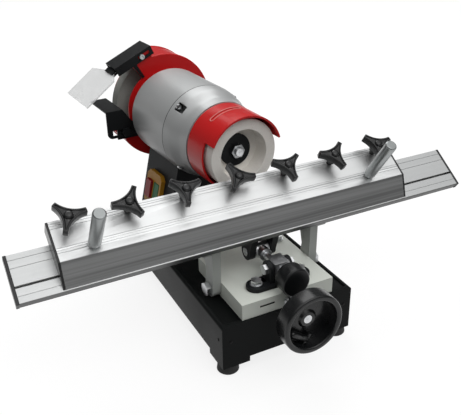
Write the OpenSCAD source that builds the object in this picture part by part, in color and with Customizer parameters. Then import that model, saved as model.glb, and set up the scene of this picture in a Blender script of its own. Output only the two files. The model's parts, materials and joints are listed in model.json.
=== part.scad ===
// Planer knife grinder: a motor head with a cup wheel at the front and a straight wheel
// at the back stands on a sheet-metal base. In front of the cup wheel a cross slide carries
// a tilting rail, and the knife holder runs along that rail. Millimetres, +Z up, +Y to the
// back, origin on the bench in the middle of the base.

/* [Base] */
// Length of the base, front to back
base_len = 380; // [360:1:420]
// Width of the base
base_w = 197.6; // [190:0.2:220]
// Height of the base shell above its feet
base_h = 66.4; // [58:0.2:76]
// Thickness of the base sheet
sheet_t = 2; // [1.5:0.25:3]
// Height of a rubber foot
foot_h = 13; // [11:0.5:18]
// Diameter of a rubber foot
foot_d = 30; // [26:0.5:34]
// Depth of the tray in the base top
tray_depth = 3; // [2:0.25:4]
// Width of the rim round the tray
rim_w = 6; // [5:0.5:8]
// Length of each corner leg
leg_len = 40; // [36:1:48]
// Height of the cut-outs between the legs
notch_h = 8; // [5:0.5:11]

/* [Cross slide] */
// Width of the cross slide
slide_w = 137; // [130:0.5:144]
// Height of the cross slide
slide_h = 23; // [22:0.25:26]
// Length of the cross slide with its rear ledge
slide_len = 132.3; // [126:0.1:140]
// Distance of the slide front behind the base front
slide_setback = 2.7; // [1:0.1:6]
// Length of the rear strip on the slide
strip_len = 19; // [16:0.5:22]
// Height of the dovetail way
way_h = 13; // [12:0.25:14]
// Width of the dovetail way at its top
way_w = 72; // [66:0.5:78]
// Length of the dovetail way
way_len = 145; // [136:1:155]

/* [Feed screw] */
// Height of the feed screw above the slide bottom
screw_rise = 8.8; // [8.4:0.1:9.4]
// Diameter of the feed screw thread
screw_d = 14; // [12:0.5:15]
// Diameter of the handwheel
hand_d = 84; // [76:1:92]
// Width of the handwheel rim
hand_rim_w = 24; // [20:0.5:28]
// Distance of the handwheel hub in front of the slide
hand_reach = 24.7; // [22:0.1:30]

/* [Tilting rail] */
// Slope of the rail at rest
rail_tilt = 34.5; // [30:0.5:38]
// Length of the rail between its end caps
rail_len = 649; // [600:1:690]
// Width of the rail along its slope
rail_w = 63.1; // [60:0.1:66]
// Thickness of the rail
rail_t = 10.5; // [10:0.25:12]
// Thickness of the black end caps
cap_t = 4; // [3:0.25:6]
// Distance of the pivot behind the slide front
pivot_setback = 71.3; // [66:0.1:76]
// Height of the rail's front edge above the pivot
rail_rise = 70.2; // [66:0.1:76]
// Distance of the rail's front edge in front of the pivot
rail_fwd = 21.8; // [18:0.1:26]
// Thickness of the two tilt arms
arm_t = 12; // [10:0.5:14]

/* [Knife holder] */
// Length of the holder between its end caps
holder_len = 495.5; // [460:0.5:520]
// Width of the holder along the slope
holder_w = 79.9; // [77:0.1:83]
// Height of the holder
holder_h = 21.5; // [20.5:0.1:24]
// Distance of the holder's middle left of the rail's middle
holder_left = 23.5; // [0:0.5:40]
// Number of clamp knobs
knob_count = 7; // [7]
// Distance of the first knob from the holder's left end
knob_inset_left = 21.85; // [20:0.05:40]
// Distance of the last knob from the holder's right end
knob_inset_right = 27.85; // [20:0.05:40]
// Radius of a knob arm
knob_arm_r = 22.5; // [20.5:0.5:25]
// Height of the knob head's underside above the holder
knob_rise = 12.5; // [11:0.5:15]
// Thickness of a knob head
knob_head_h = 12; // [10:0.5:14]
// Length of the two push pins above the holder
pin_len = 75; // [60:1:90]
// Diameter of the push pins
pin_d = 16; // [13:0.5:18]

/* [Angle adjuster] */
// Height of the adjuster rod above the slide
rod_rise = 22.8; // [22:0.1:25]
// Distance of the swivel behind the slide front
swivel_setback = 29.3; // [26:0.1:33]
// Distance of the trunnion behind the pivot
trunnion_back = 9; // [7:0.1:11]
// Diameter of the adjuster rod
rod_d = 10; // [8:0.5:11]
// Diameter of the adjuster knob
adjust_d = 40; // [36:0.5:42]
// Length of the adjuster knob
adjust_len = 30; // [26:0.5:34]

/* [Motor head] */
// Height of the spindle above the base tray
axis_h = 172.6; // [168:0.1:180]
// Distance of the cup wheel's face behind the base front
wheel_setback = 124; // [122:0.5:132]
// Angle of the head about the vertical
head_cant = 4; // [0:0.25:4.5]
// Diameter of the motor housing
motor_d = 134; // [128:0.5:140]
// Thickness of the motor housing wall
motor_wall = 10; // [9.5:0.25:11]
// Length of the front bell
bell_len = 62; // [60:0.5:66]
// Length of the motor drum
drum_len = 108; // [100:0.5:116]
// Length of the pedestal along the motor
ped_len = 97; // [88:1:100]
// Width of the pedestal under the motor
neck_w = 92; // [84:1:98]
// Thickness of the pedestal walls
ped_wall = 4; // [3:0.25:6]

/* [Wheels and guards] */
// Diameter of the cup wheel
cup_d = 100; // [92:0.5:102]
// Depth of the cup wheel
cup_depth = 40; // [38:0.5:42]
// Wall of the cup wheel
cup_wall = 14.4; // [11:0.1:17]
// Distance of the cup wheel's floor behind its face
cup_floor_in = 25; // [23:0.5:28]
// Diameter of the straight wheel
rear_wheel_d = 142; // [134:0.5:150]
// Thickness of the straight wheel
rear_wheel_t = 20; // [16:0.5:22]
// Diameter of the red front hood
hood_d = 113; // [108:0.5:118]
// Reach of the hood's visor in front of the wheel face
visor_reach = 7; // [4:0.5:9]
// Room between the straight wheel and the guard's wall
wheel_room = 9.5; // [9:0.5:12]
// Depth of the rear guard
guard_depth = 62; // [60:0.5:66]
// Thickness of the guard sheet
guard_t = 2.5; // [2:0.1:3]

/* [Switch] */
// Height of the switch bezel along the pedestal face
bezel_h = 58; // [52:0.5:64]
// Width of the switch bezel
bezel_w = 48; // [44:0.5:54]
// Travel of the push buttons
button_travel = 3; // [2:0.25:3.5]

/* [Hidden] */
$fn = 64;

// Cuts run past the faces that they open
overrun = 1;
// Radial play of a turning fit
run_fit = 0.06;
// Gap between flat faces that slide on each other
glide = 0.05;
// Gap between neighbours that must not touch
air = 0.3;
// Steps of an arc in an outline
arc_steps = 8;

// Heights of the base
base_top = foot_h + base_h;
tray_z = base_top - tray_depth;
base_bend_r = 4;
foot_inset = 14;
foot_chamfer = 2;
foot_top_d = foot_d - 3;
bench_hole_d = 6.6;
foot_plate = 34;
corner_hole_d = 5;
corner_hole_in = 12;
corner_hole_down = 25;
inlet_d = 13;
inlet_x = 55;
inlet_rise = 25;

// Small socket screws of the base
base_screw_d = 6;
base_screw_head_d = 10;
base_screw_head_h = 4;
base_screw_len = 14;

// Cross slide
slide_z = base_top + air;
slide_top = slide_z + slide_h;
slide_y = slide_setback - base_len / 2;
slide_back = slide_y + slide_len;
strip_y = slide_back - strip_len;
strip_h = 11;
front_wall = 12;
way_slope = 6;
way_web = 1.2;
way_y = slide_y + front_wall + 10;
channel_w = 24;
screw_z = slide_z + screw_rise;
channel_top = screw_z + screw_d / 2 + 1.5;
slot_x = -42.6;
slot_w = 21.6;
slot_h = 3;
slot_depth = 4;
slot_rise = 11;

// Hex bolts of the slide
bolt_d = 8;
bolt_af = 13;
bolt_head_h = 5.5;
washer_d = 17;
washer_t = 1.6;
bolt_len = 14;
strip_bolt_in = 13.5;

// Feed screw and handwheel
journal_d = 12;
collar_d = 16;
collar_w = 2.7;
nut_len = 26;
nut_from_way_back = 6;
screw_tail = 5;
hub_d = 26;
hub_len = 22;
web_t = 6;
rim_t = 8;
rim_round = 3;
hand_y = slide_y - hand_reach;
web_front = hub_len - 3;
rim_back = web_front - web_t;

// Fold-away crank handle in the dish of the handwheel
grip_d = 10;
grip_len = 30;
grip_pivot_r = 27;
grip_pivot_angle = 262;
grip_lie_angle = 146;
grip_barrel_w = 9;
grip_lug_w = 4;
grip_pin_d = 4;
grip_hole_len = grip_barrel_w + 2 * grip_lug_w + 2 * overrun;
grip_lift = web_front + grip_d / 2 + 0.8;

// Pivot of the tilting frame
pivot_y = slide_y + pivot_setback;
pivot_z = slide_z + slide_h / 2;
pivot_bolt_d = 10;
pivot_af = 17;
pivot_head_h = 7;
pivot_depth = 18;
arm_x = slide_w / 2 + air;
arm_eye_d = 24;
arm_waist = 20;
arm_waist_share = 0.42;
arm_flange_w = 25;
arm_flange_t = 6;
arm_s0 = 1;
arm_s1 = 46;
arm_screw_d = 6;
arm_screw_head_d = 10;
arm_screw_head_h = 4;
arm_screw_in = 8;
arm_screw_bite = 5;
arm_screw_len = arm_flange_t + arm_screw_bite;

// Rail outline along the slope (s) and across it (t)
rail_y = pivot_y - rail_fwd;
rail_z = pivot_z + rail_rise;
key_s = 21;
key_neck_w = 3.2;
key_head_w = 14;
key_neck_h = 3.2;
key_head_h = 3.4;
key_len = 196;
rail_wall = 3;
rail_line_s = [8.6, 44.5, 55];
line_w = 0.9;
line_depth = 0.7;
cap_over = 0.6;

// Clevis under the rail and the trunnion of the adjuster
swivel_y = slide_y + swivel_setback;
rod_z = slide_top + rod_rise;
trunnion_y = pivot_y + trunnion_back;
trunnion_pin_d = 12;
trunnion_play = 0.7;
clevis_gap = 23;
clevis_ear_t = 9;
clevis_eye_d = 24;
clevis_flange_t = 5;
clevis_flange_w = 66;
clevis_s0 = 4;
clevis_s1 = 40;
trunnion_block_w = 21;
trunnion_block_d = 24;
trunnion_nose = 8;
trunnion_nose_d = trunnion_block_w - 3;

// Swivel bracket on the slide
bracket_t = 5.5;
bracket_w = 27;
bracket_bolt_x = 33.5;
bracket_bolt_y = swivel_y - 2;
cheek_t = 6;
cheek_gap = 22;
cheek_d = 22;
swivel_w = 21.4;
swivel_d = 21;
swivel_len = 24;
swivel_bolt_d = 8;
swivel_bolt_in = 5;

// Adjuster rod and knob
knob_gap = 6;
adjust_groove = 1.5;
adjust_hub_d = 20;
adjust_hub_len = 6;
rod_tip_d = 8;

// Knife holder outline along the slope and across it
holder_s = 2.1;
holder_z = glide;
ridge_s = 27.7;
jaw_t = 6;
slit_h = 7;
slit_s = 46;
holder_wall = 3;
holder_lines_s = [38.6, 42, 45, 71, 75, 78];
holder_x = -holder_left;
holder_back = holder_s + holder_w;
holder_top = holder_z + holder_h;

// Clamp bar and knob screws
bar_t = 3;
bar_up = 2.5;
bar_s0 = 52;
bar_end = 6;
knob_s = 73;
knob_shift = (knob_inset_left - knob_inset_right) / 2;
knob_pitch = (holder_len - knob_inset_left - knob_inset_right) / (knob_count - 1);
stud_d = 8;
stud_tip_d = 6;
stud_tip_len = 2.2;
neck_d = 14;
arm_tip_w = 6.6;
knob_waist_r = 9;
knob_cap_d = 11;
knob_cap_h = 2;
bar_z = holder_z + jaw_t + bar_up;
knob_turns = [5, 57, 17, 108, 32, 43, 10];

// Push pins
pin_span = 398;
pin_shift = -5;
pin_s = 39;
pin_cone_h = 7;
pin_foot_d = 11;
pin_chamfer = 1.5;
pin_stud_d = 8;
pin_stud_len = 6;

// Motor head along its axis, from the cup wheel's face
axis_z = tray_z + axis_h;
face_y = wheel_setback - base_len / 2;
motor_r = motor_d / 2;
bore_r = motor_r - motor_wall;
nose_y = 50;
hood_back = 56;
spigot_back = hood_back + 2;
nose_d = 115;
nose_end_d = 117;
nose_end = 22;
bell_blend = 28;
bell_blend_d = 132;
bell_neck_d = 100;
bell_bore_y = 54;
seam_y = nose_y + bell_len;
drum_y = seam_y + drum_len;
end_wall = 6;
brg_d = 40;
brg_bore = 20;
brg_w = 14;
brg_lip = 4;
hub_wall = 5;
shaft_hole_d = 26;
drum_round = 4;

// Motor internals
stator_len = 60;
stator_bore = 72;
stator_y = seam_y + 12;
wind_len = 12;
wind_d = 112;
wind_bore = 80;
rotor_d = 70.8;
cap_d = 40;
cap_h = 62;

// Spindle
shaft_d = 20;
tip_d = 12;
tip_y = 10;
flange_t = 4;
cup_flange_d = 46;
rear_flange_d = 62;
hex_af = 18;
hex_t = 7;
guard_gap = 22;
wheel_in = 26;
rear_wheel_y = drum_y + guard_gap + wheel_in;
rear_wheel_back = rear_wheel_y + rear_wheel_t;
tail_y = rear_wheel_back + flange_t + hex_t;

// Small socket screws of the head
head_screw_d = 5;
head_screw_head_d = 7.8;
head_screw_head_h = 4;
head_screw_len = 24;
pocket_d = 13;
pocket_len = 18;
pocket_out = 1.8;
pocket_seat = 8;
pocket_r = motor_r - 4;
housing_angles = [43, 133, 223, 313];
hood_screw_r = 40;
hood_screw_angles = [90, 210, 330];

// Front hood
hood_r = hood_d / 2;
hood_wall = 2.5;
spigot_r = hood_r - hood_wall - glide;
hood_step = 15;
visor_a0 = 17;
visor_a1 = 155;
hood_plate_t = 3;
hood_hole_d = 56;
hood_groove_y = 27;
hood_groove_w = 6;
hood_groove_a0 = 78;
hood_groove_a1 = 124;
hood_groove_depth = 1;

// Rear guard
guard_r = rear_wheel_d / 2 + wheel_room + guard_t;
guard_y = drum_y + guard_gap;
guard_hub_d = 110;
guard_hub_bore = 80;
guard_hole_d = 60;
open_a0 = 124;
open_a1 = 211;
guard_ring_d = 124;
lug_d = 8;
lug_r = guard_r - guard_t - lug_d / 2 + 1;
lug_angles = [20, 95, 275];
cover_t = 3;
cover_y = guard_y + guard_depth;

// Eye shield bracket: a channel over the guard, tilted along its upper left
shield_lean = 29.6;
shield_seat = 10.15;
shield_u = (guard_r + shield_seat) * [-sin(shield_lean), cos(shield_lean)];
shield_angle = 24;
shield_bar_l = 66;
shield_bar_h = 14;
shield_t = 2.5;
shield_lug_h = shield_bar_h * 3 / 2 - shield_t - glide;
shield_slot_u = 7;
shield_slot_len = 21;
shield_slot_w = 5.5;
shield_pivot_u = -26.7;
shield_rod_d = 6;
shield_cheek_y = guard_y - shield_t;
shield_screw_len = 10;
shield_depth = 36;
shield_back_y = shield_cheek_y + shield_depth;
spark_strip_angle = 4;
spark_strip_t = 1.5;
spark_strip_y = shield_cheek_y + (shield_t - spark_strip_t) / 2;
glass_angle = 216;
glass_len = 72;
glass_w = 88;
glass_t = 2.5;
glass_mid = (shield_cheek_y + shield_t + shield_back_y) / 2;
glass_back = 14;
glass_neck = 5;
glass_shoulder = 15;
tongue_w = 24;
clip_len = 14;
clip_wall = 2;

// Tool rest at the left of the straight wheel
rest_t = 3;
rest_gap = 4;
rest_w = 27;
rest_x1 = -rear_wheel_d / 2 - rest_gap;
rest_x0 = rest_x1 - rest_w;
rest_top = 10;
rest_low = -35;
rest_slot_in = 8.6;
rest_slot_x = rest_x0 + rest_slot_in;
rest_slot_len = 31.4;
rest_slot_z = -26.5;
rest_slot_w = 8.6;
rest_round = 8;
rest_tab_h = 17;
rest_arm_in = 22;
rest_arm_x = rest_arm_in - guard_ring_d / 2;
rest_arm_h = 26;
rest_air = 0.2;
rest_y = guard_y - 2 * rest_t - rest_air;
rest_bolt_in = 30;
rest_plate_w = 46;
rest_bolt_x = rest_x0 + rest_bolt_in;
rest_plate_x = rest_x0 + rest_plate_w;

// Pedestal
ped_inset = 14;
ped_back = drum_y - ped_inset;
ped_y = ped_back - ped_len;
ped_flange = 14;
ped_flange_t = 6;
ped_low = -axis_h;
ped_margin = 22.8;
ped_foot_w = base_w - 2 * ped_margin;
ped_flange_in = 5;
ped_top = -sqrt(motor_r * motor_r - neck_w * neck_w / 4);
ped_slope = atan((ped_foot_w - neck_w) / 2 / (ped_top - ped_low));

// Switch on the left face of the pedestal
switch_z = -103;
switch_back = 6;
switch_y = ped_y + ped_len / 2 + switch_back;
switch_x = -neck_w / 2 - (ped_top - switch_z) * tan(ped_slope);
bezel_t = 7;
bezel_corner = 7;
switch_body_w = 40;
switch_body_h = 50;
switch_body_d = 28;
button_w = 16.4;
button_h = 28;
button_gap = 0.4;
button_x = 10;
button_root = 4;
start_proud = 0.5;
stop_proud = 4;
window_depth = 9;
window_w = button_w + 2 * button_gap;
window_h = button_h + 2 * button_gap;

// Outline helpers
function arc(cx, cy, r, a0, a1) = [
    for (i = [0:arc_steps])
        [cx + r * cos(a0 + (a1 - a0) * i / arc_steps), cy + r * sin(a0 + (a1 - a0) * i / arc_steps)]
];
function rail_point(s, t) = [
    rail_y + s * cos(rail_tilt) - t * sin(rail_tilt),
    rail_z + s * sin(rail_tilt) + t * cos(rail_tilt)
];
function swell(r0, r1, y0, len) = [
    for (i = [0:arc_steps])
        [r0 + (r1 - r0) * ease(i / arc_steps), y0 + len * i / arc_steps]
];
function ease(u) = u * u * (3 - 2 * u);
function hex_r(af) = af / sqrt(3);
function chamfered(w, h, c) = [
    [-w / 2 + c, -h / 2], [w / 2 - c, -h / 2], [w / 2, -h / 2 + c], [w / 2, h / 2 - c],
    [w / 2 - c, h / 2], [-w / 2 + c, h / 2], [-w / 2, h / 2 - c], [-w / 2, -h / 2 + c]
];

// Extrusions of outlines along X, along Y, and the frames of the rail and the head
module along_x(x0, x1) {
    translate([x0, 0, 0])
        rotate([90, 0, 90])
            linear_extrude(x1 - x0)
                children();
}
module along_y(y0, y1) {
    translate([0, y1, 0])
        rotate([90, 0, 0])
            linear_extrude(y1 - y0)
                children();
}
module in_rail() {
    translate([0, rail_y, rail_z])
        rotate([rail_tilt, 0, 0])
            children();
}
module in_head() {
    translate([0, face_y, axis_z])
        rotate([0, 0, head_cant])
            children();
}
module axial(y) {
    translate([0, y, 0])
        rotate([-90, 0, 0])
            children();
}
module at_angle(a, r) {
    rotate([0, -a, 0])
        translate([r, 0, 0])
            children();
}
module ring(d_out, d_in, y0, y1) {
    axial(y0)
        difference() {
            cylinder(d = d_out, h = y1 - y0);
            translate([0, 0, -overrun])
                cylinder(d = d_in, h = y1 - y0 + 2 * overrun);
        }
}
module sector(r_in, r_out, y0, y1, a0, a1) {
    axial(y0)
        rotate([0, 0, -a1])
            rotate_extrude(angle = a1 - a0)
                translate([r_in, 0])
                    square([r_out - r_in, y1 - y0]);
}
module revolved(points) {
    axial(0)
        rotate_extrude()
            polygon(points);
}
module rod_x(d, x0, x1) {
    translate([x0, 0, 0])
        rotate([0, 90, 0])
            cylinder(d = d, h = x1 - x0);
}
module mirrored_x() {
    children();
    mirror([1, 0, 0])
        children();
}

// Fasteners: the seat under the head is at zero and the shank runs up
module socket_screw(d, head_d, head_h, len) {
    cylinder(d = d, h = len);
    difference() {
        translate([0, 0, -head_h])
            cylinder(d = head_d, h = head_h);
        translate([0, 0, -head_h - overrun])
            cylinder(d = d, h = head_h / 2 + overrun, $fn = 6);
    }
}
module hex_bolt(d, af, head_h, len) {
    cylinder(d = d, h = len);
    translate([0, 0, -head_h])
        cylinder(r = hex_r(af), h = head_h, $fn = 6);
}
module corners(dx, dy) {
    for (sx = [-1, 1])
        for (sy = [-1, 1])
            translate([sx * dx, sy * dy, 0])
                children();
}
module feet_places() {
    corners(base_w / 2 - foot_inset, base_len / 2 - foot_inset)
        children();
}
module pedestal_bolt_places() {
    in_head()
        translate([0, ped_y + ped_len / 2, 0])
            corners(ped_foot_w / 2 - ped_flange, ped_len / 2 + ped_flange / 2)
                children();
}

// Base
module base_shell() {
    color("#17191b")
        difference() {
            union() {
                base_box();
                base_corner_plates();
            }
            feet_places()
                cylinder(d = bench_hole_d, h = base_top - tray_depth - sheet_t);
            pedestal_bolt_places()
                translate([0, 0, ped_low - base_screw_len])
                    cylinder(d = base_screw_d + 2 * run_fit, h = base_screw_len + overrun);
            base_corner_holes();
            translate([inlet_x, base_len / 2 + overrun, foot_h + inlet_rise])
                rotate([90, 0, 0])
                    cylinder(d = inlet_d, h = sheet_t + 2 * overrun);
        }
}
module base_box() {
    hollow_h = base_h - tray_depth - sheet_t;
    difference() {
        along_y(-base_len / 2, base_len / 2)
            polygon(concat(
                [[-base_w / 2, foot_h], [base_w / 2, foot_h]],
                arc(base_w / 2 - base_bend_r, base_top - base_bend_r, base_bend_r, 0, 90),
                arc(base_bend_r - base_w / 2, base_top - base_bend_r, base_bend_r, 90, 180)));
        translate([sheet_t - base_w / 2, sheet_t - base_len / 2, foot_h - overrun])
            cube([base_w - 2 * sheet_t, base_len - 2 * sheet_t, hollow_h + overrun]);
        translate([rim_w - base_w / 2, rim_w - base_len / 2, tray_z])
            cube([base_w - 2 * rim_w, base_len - 2 * rim_w, tray_depth + overrun]);
        translate([leg_len - base_w / 2, -base_len / 2 - overrun, foot_h - overrun])
            cube([base_w - 2 * leg_len, base_len + 2 * overrun, notch_h + overrun]);
        translate([-base_w / 2 - overrun, leg_len - base_len / 2, foot_h - overrun])
            cube([base_w + 2 * overrun, base_len - 2 * leg_len, notch_h + overrun]);
    }
}
module base_corner_plates() {
    corners(base_w / 2 - foot_plate / 2 - sheet_t / 2, base_len / 2 - foot_plate / 2 - sheet_t / 2)
        translate([-foot_plate / 2, -foot_plate / 2, foot_h])
            cube([foot_plate, foot_plate, sheet_t]);
}
module base_corner_holes() {
    hole_z = base_top - corner_hole_down;
    for (sx = [-1, 1])
        translate([sx * (base_w / 2 - corner_hole_in), base_len / 2 + overrun, hole_z])
            rotate([90, 0, 0])
                cylinder(d = corner_hole_d, h = base_len + 2 * overrun);
    for (sy = [-1, 1])
        translate([0, sy * (base_len / 2 - corner_hole_in), hole_z])
            rod_x(corner_hole_d, -base_w / 2 - overrun, base_w / 2 + overrun);
}
module rubber_feet() {
    color("#101010")
        feet_places()
            rotate_extrude()
                polygon([
                    [bench_hole_d / 2, 0], [foot_d / 2 - foot_chamfer, 0], [foot_d / 2, foot_chamfer],
                    [foot_top_d / 2, foot_h], [bench_hole_d / 2, foot_h]
                ]);
}
module base_screws() {
    color("#9a9da0")
        pedestal_bolt_places()
            translate([0, 0, ped_low + ped_flange_t])
                mirror([0, 0, 1])
                    socket_screw(base_screw_d, base_screw_head_d, base_screw_head_h, base_screw_len);
}
module slide_way() {
    low = way_w / 2 - way_slope;
    color("#4a4d4f")
        along_y(way_y, way_y + way_len)
            polygon([
                [-low, tray_z], [low, tray_z], [way_w / 2, tray_z + way_h],
                [channel_w / 2, tray_z + way_h], [channel_w / 2, tray_z + way_web],
                [-channel_w / 2, tray_z + way_web], [-channel_w / 2, tray_z + way_h],
                [-way_w / 2, tray_z + way_h]
            ]);
}
module feed_nut() {
    nut_y = way_y + way_len - nut_from_way_back - nut_len;
    nut_z = tray_z + way_web;
    color("#b08d4a")
        difference() {
            translate([glide - channel_w / 2, nut_y, nut_z])
                cube([channel_w - 2 * glide, nut_len, channel_top - air - nut_z]);
            translate([0, nut_y - overrun, screw_z])
                rotate([-90, 0, 0])
                    cylinder(d = screw_d + 2 * run_fit, h = nut_len + 2 * overrun);
        }
}

// Pedestal and switch
module pedestal_outline(inset, low) {
    polygon([
        [-ped_foot_w / 2 + inset, low], [ped_foot_w / 2 - inset, low],
        [neck_w / 2 - inset, ped_top], [-neck_w / 2 + inset, ped_top]
    ]);
}
module pedestal() {
    color("#2a2c2e")
        difference() {
            union() {
                in_head()
                    along_y(ped_y, ped_back)
                        pedestal_outline(0, ped_low);
                in_head()
                    translate([ped_flange_in - ped_foot_w / 2, ped_y - ped_flange, ped_low])
                        cube([ped_foot_w - 2 * ped_flange_in, ped_len + 2 * ped_flange, ped_flange_t]);
            }
            in_head()
                axial(ped_y - ped_flange)
                    cylinder(r = motor_r + glide, h = ped_len + 2 * ped_flange);
            in_head()
                difference() {
                    along_y(ped_y + ped_wall, ped_back - ped_wall)
                        pedestal_outline(ped_wall, ped_low - overrun);
                    axial(ped_y)
                        cylinder(r = motor_r + ped_wall, h = ped_len);
                }
            pedestal_bolt_places()
                translate([0, 0, ped_low - overrun])
                    cylinder(d = base_screw_d + 2 * run_fit, h = ped_flange_t + 2 * overrun);
            on_switch_face()
                translate([-switch_body_w / 2 - glide, -switch_body_h / 2 - glide, -switch_body_d])
                    cube([switch_body_w + 2 * glide, switch_body_h + 2 * glide, switch_body_d + overrun]);
        }
}
module on_switch_face() {
    in_head()
        translate([switch_x, switch_y, switch_z])
            rotate([0, ped_slope, 0])
                rotate([90, 0, -90])
                    children();
}
module switch_frame() {
    color("#c98a12")
        on_switch_face()
            difference() {
                union() {
                    linear_extrude(bezel_t)
                        polygon(chamfered(bezel_w, bezel_h, bezel_corner));
                    translate([-switch_body_w / 2, -switch_body_h / 2, -switch_body_d])
                        cube([switch_body_w, switch_body_h, switch_body_d + overrun]);
                }
                for (sx = [-1, 1])
                    translate([sx * button_x - window_w / 2, -window_h / 2, -window_depth])
                        cube([window_w, window_h, window_depth + bezel_t + overrun]);
            }
}
module push_button(x, proud) {
    on_switch_face()
        translate([x - button_w / 2, -button_h / 2, -button_root])
            cube([button_w, button_h, button_root + bezel_t + proud]);
}
module start_button() {
    color("#1f8a4c")
        push_button(button_x, start_proud);
}
module stop_button() {
    color("#c1272d")
        push_button(-button_x, stop_proud);
}

// Motor
module housing_pockets() {
    for (a = housing_angles)
        at_angle(a, pocket_r) {
            translate([pocket_out, 0, 0]) {
                axial(seam_y - pocket_seat - pocket_len)
                    cylinder(d = pocket_d, h = pocket_len);
                translate([0, seam_y - pocket_seat - pocket_len + pocket_d / 2, -pocket_d / 2])
                    cube([pocket_d, pocket_len - pocket_d / 2, pocket_d]);
            }
            axial(seam_y - pocket_seat - overrun)
                cylinder(d = head_screw_d + 2 * run_fit, h = pocket_seat + head_screw_len);
        }
}
module motor_bell() {
    seat_r = brg_d / 2 + glide;
    hub_r = seat_r + hub_wall;
    color("#a9acae")
        in_head()
            difference() {
                revolved(concat(
                    [
                        [shaft_hole_d / 2, nose_y], [spigot_r, nose_y], [spigot_r, spigot_back],
                        [nose_d / 2, spigot_back]
                    ],
                    swell(nose_end_d / 2, bell_blend_d / 2, nose_y + nose_end, bell_blend),
                    [
                        [motor_r, seam_y], [bore_r, seam_y], [bore_r, nose_y + bell_bore_y],
                        [bell_neck_d / 2, nose_y + nose_end], [bell_neck_d / 2, spigot_back],
                        [hub_r, spigot_back], [hub_r, nose_y + brg_lip + brg_w],
                        [seat_r, nose_y + brg_lip + brg_w], [seat_r, nose_y + brg_lip],
                        [shaft_hole_d / 2, nose_y + brg_lip]
                    ]));
                housing_pockets();
                for (a = hood_screw_angles)
                    at_angle(a, hood_screw_r)
                        axial(nose_y - overrun)
                            cylinder(d = head_screw_d + 2 * run_fit, h = head_screw_len);
            }
}
module motor_drum() {
    seat_r = brg_d / 2 + glide;
    hub_r = seat_r + hub_wall;
    seat_y = drum_y - brg_lip - brg_w;
    color("#a4a7a9")
        in_head()
            difference() {
                revolved(concat(
                    [
                        [shaft_hole_d / 2, drum_y], [shaft_hole_d / 2, drum_y - brg_lip],
                        [seat_r, drum_y - brg_lip], [seat_r, seat_y], [hub_r, seat_y],
                        [hub_r, drum_y - end_wall], [bore_r, drum_y - end_wall],
                        [bore_r, seam_y], [motor_r, seam_y]
                    ],
                    arc(motor_r - drum_round, drum_y - drum_round, drum_round, 0, 90)));
                housing_pockets();
            }
}
module head_screws() {
    color("#8e9194")
        in_head() {
            for (a = housing_angles)
                at_angle(a, pocket_r)
                    axial(seam_y - pocket_seat)
                        head_screw();
            for (a = hood_screw_angles)
                at_angle(a, hood_screw_r)
                    axial(nose_y - hood_plate_t)
                        head_screw();
            for (a = lug_angles)
                at_angle(a, lug_r)
                    axial(cover_y + cover_t)
                        mirror([0, 0, 1])
                            head_screw();
            on_shield_bar(shield_slot_u + shield_slot_w)
                axial(shield_cheek_y)
                    socket_screw(head_screw_d, head_screw_head_d, head_screw_head_h, shield_screw_len);
        }
}
module on_shield_bar(u) {
    translate([shield_u[0], 0, shield_u[1]])
        rotate([0, -shield_angle, 0])
            translate([u, 0, 0])
                children();
}
module head_screw() {
    socket_screw(head_screw_d, head_screw_head_d, head_screw_head_h, head_screw_len);
}
module stator_core() {
    color("#5d6165")
        in_head()
            ring(2 * (bore_r - glide), stator_bore, stator_y, stator_y + stator_len);
}
module stator_windings() {
    color("#a5561f")
        in_head() {
            ring(wind_d, wind_bore, stator_y - wind_len, stator_y);
            ring(wind_d, wind_bore, stator_y + stator_len, stator_y + stator_len + wind_len);
        }
}
module spindle_bearings() {
    color("#c9cccf")
        in_head() {
            ring(brg_d, brg_bore + 2 * glide, nose_y + brg_lip, nose_y + brg_lip + brg_w);
            ring(brg_d, brg_bore + 2 * glide, drum_y - brg_lip - brg_w, drum_y - brg_lip);
        }
}
module run_capacitor() {
    color("#3b4a57")
        in_head()
            translate([0, ped_y + ped_len / 2, ped_low])
                cylinder(d = cap_d, h = cap_h);
}

// Spindle
module motor_shaft() {
    cup_back = cup_depth + flange_t;
    rear_seat = rear_wheel_y - flange_t;
    color("#b7babd")
        in_head()
            revolved([
                [0, tip_y], [tip_d / 2, tip_y], [tip_d / 2, cup_back], [shaft_d / 2, cup_back],
                [shaft_d / 2, rear_seat], [tip_d / 2, rear_seat], [tip_d / 2, tail_y], [0, tail_y]
            ]);
}
module rotor_core() {
    color("#54585b")
        in_head()
            ring(rotor_d, shaft_d + 2 * glide, stator_y, stator_y + stator_len);
}
module cup_wheel() {
    cup_bore = tip_d / 2 + glide;
    color("#e8e4da")
        in_head()
            revolved([
                [cup_bore, cup_floor_in], [cup_d / 2 - cup_wall, cup_floor_in], [cup_d / 2 - cup_wall, 0],
                [cup_d / 2, 0], [cup_d / 2, cup_depth], [cup_bore, cup_depth]
            ]);
}
module wheel_flanges() {
    color("#1c1d1f")
        in_head() {
            ring(cup_flange_d, tip_d + 2 * glide, cup_floor_in - flange_t, cup_floor_in);
            ring(cup_flange_d, tip_d + 2 * glide, cup_depth, cup_depth + flange_t);
            ring(rear_flange_d, tip_d + 2 * glide, rear_wheel_y - flange_t, rear_wheel_y);
            ring(rear_flange_d, tip_d + 2 * glide, rear_wheel_back, rear_wheel_back + flange_t);
        }
}
module hex_nut(y) {
    axial(y)
        difference() {
            cylinder(r = hex_r(hex_af), h = hex_t, $fn = 6);
            translate([0, 0, -overrun])
                cylinder(d = tip_d + 2 * glide, h = hex_t + 2 * overrun);
        }
}
module spindle_nuts() {
    color("#b9bcbf")
        in_head() {
            hex_nut(cup_floor_in - flange_t - hex_t);
            hex_nut(rear_wheel_back + flange_t);
        }
}
module rear_wheel() {
    color("#6b6f6c")
        in_head()
            ring(rear_wheel_d, tip_d + 2 * glide, rear_wheel_y, rear_wheel_back);
}

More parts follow.
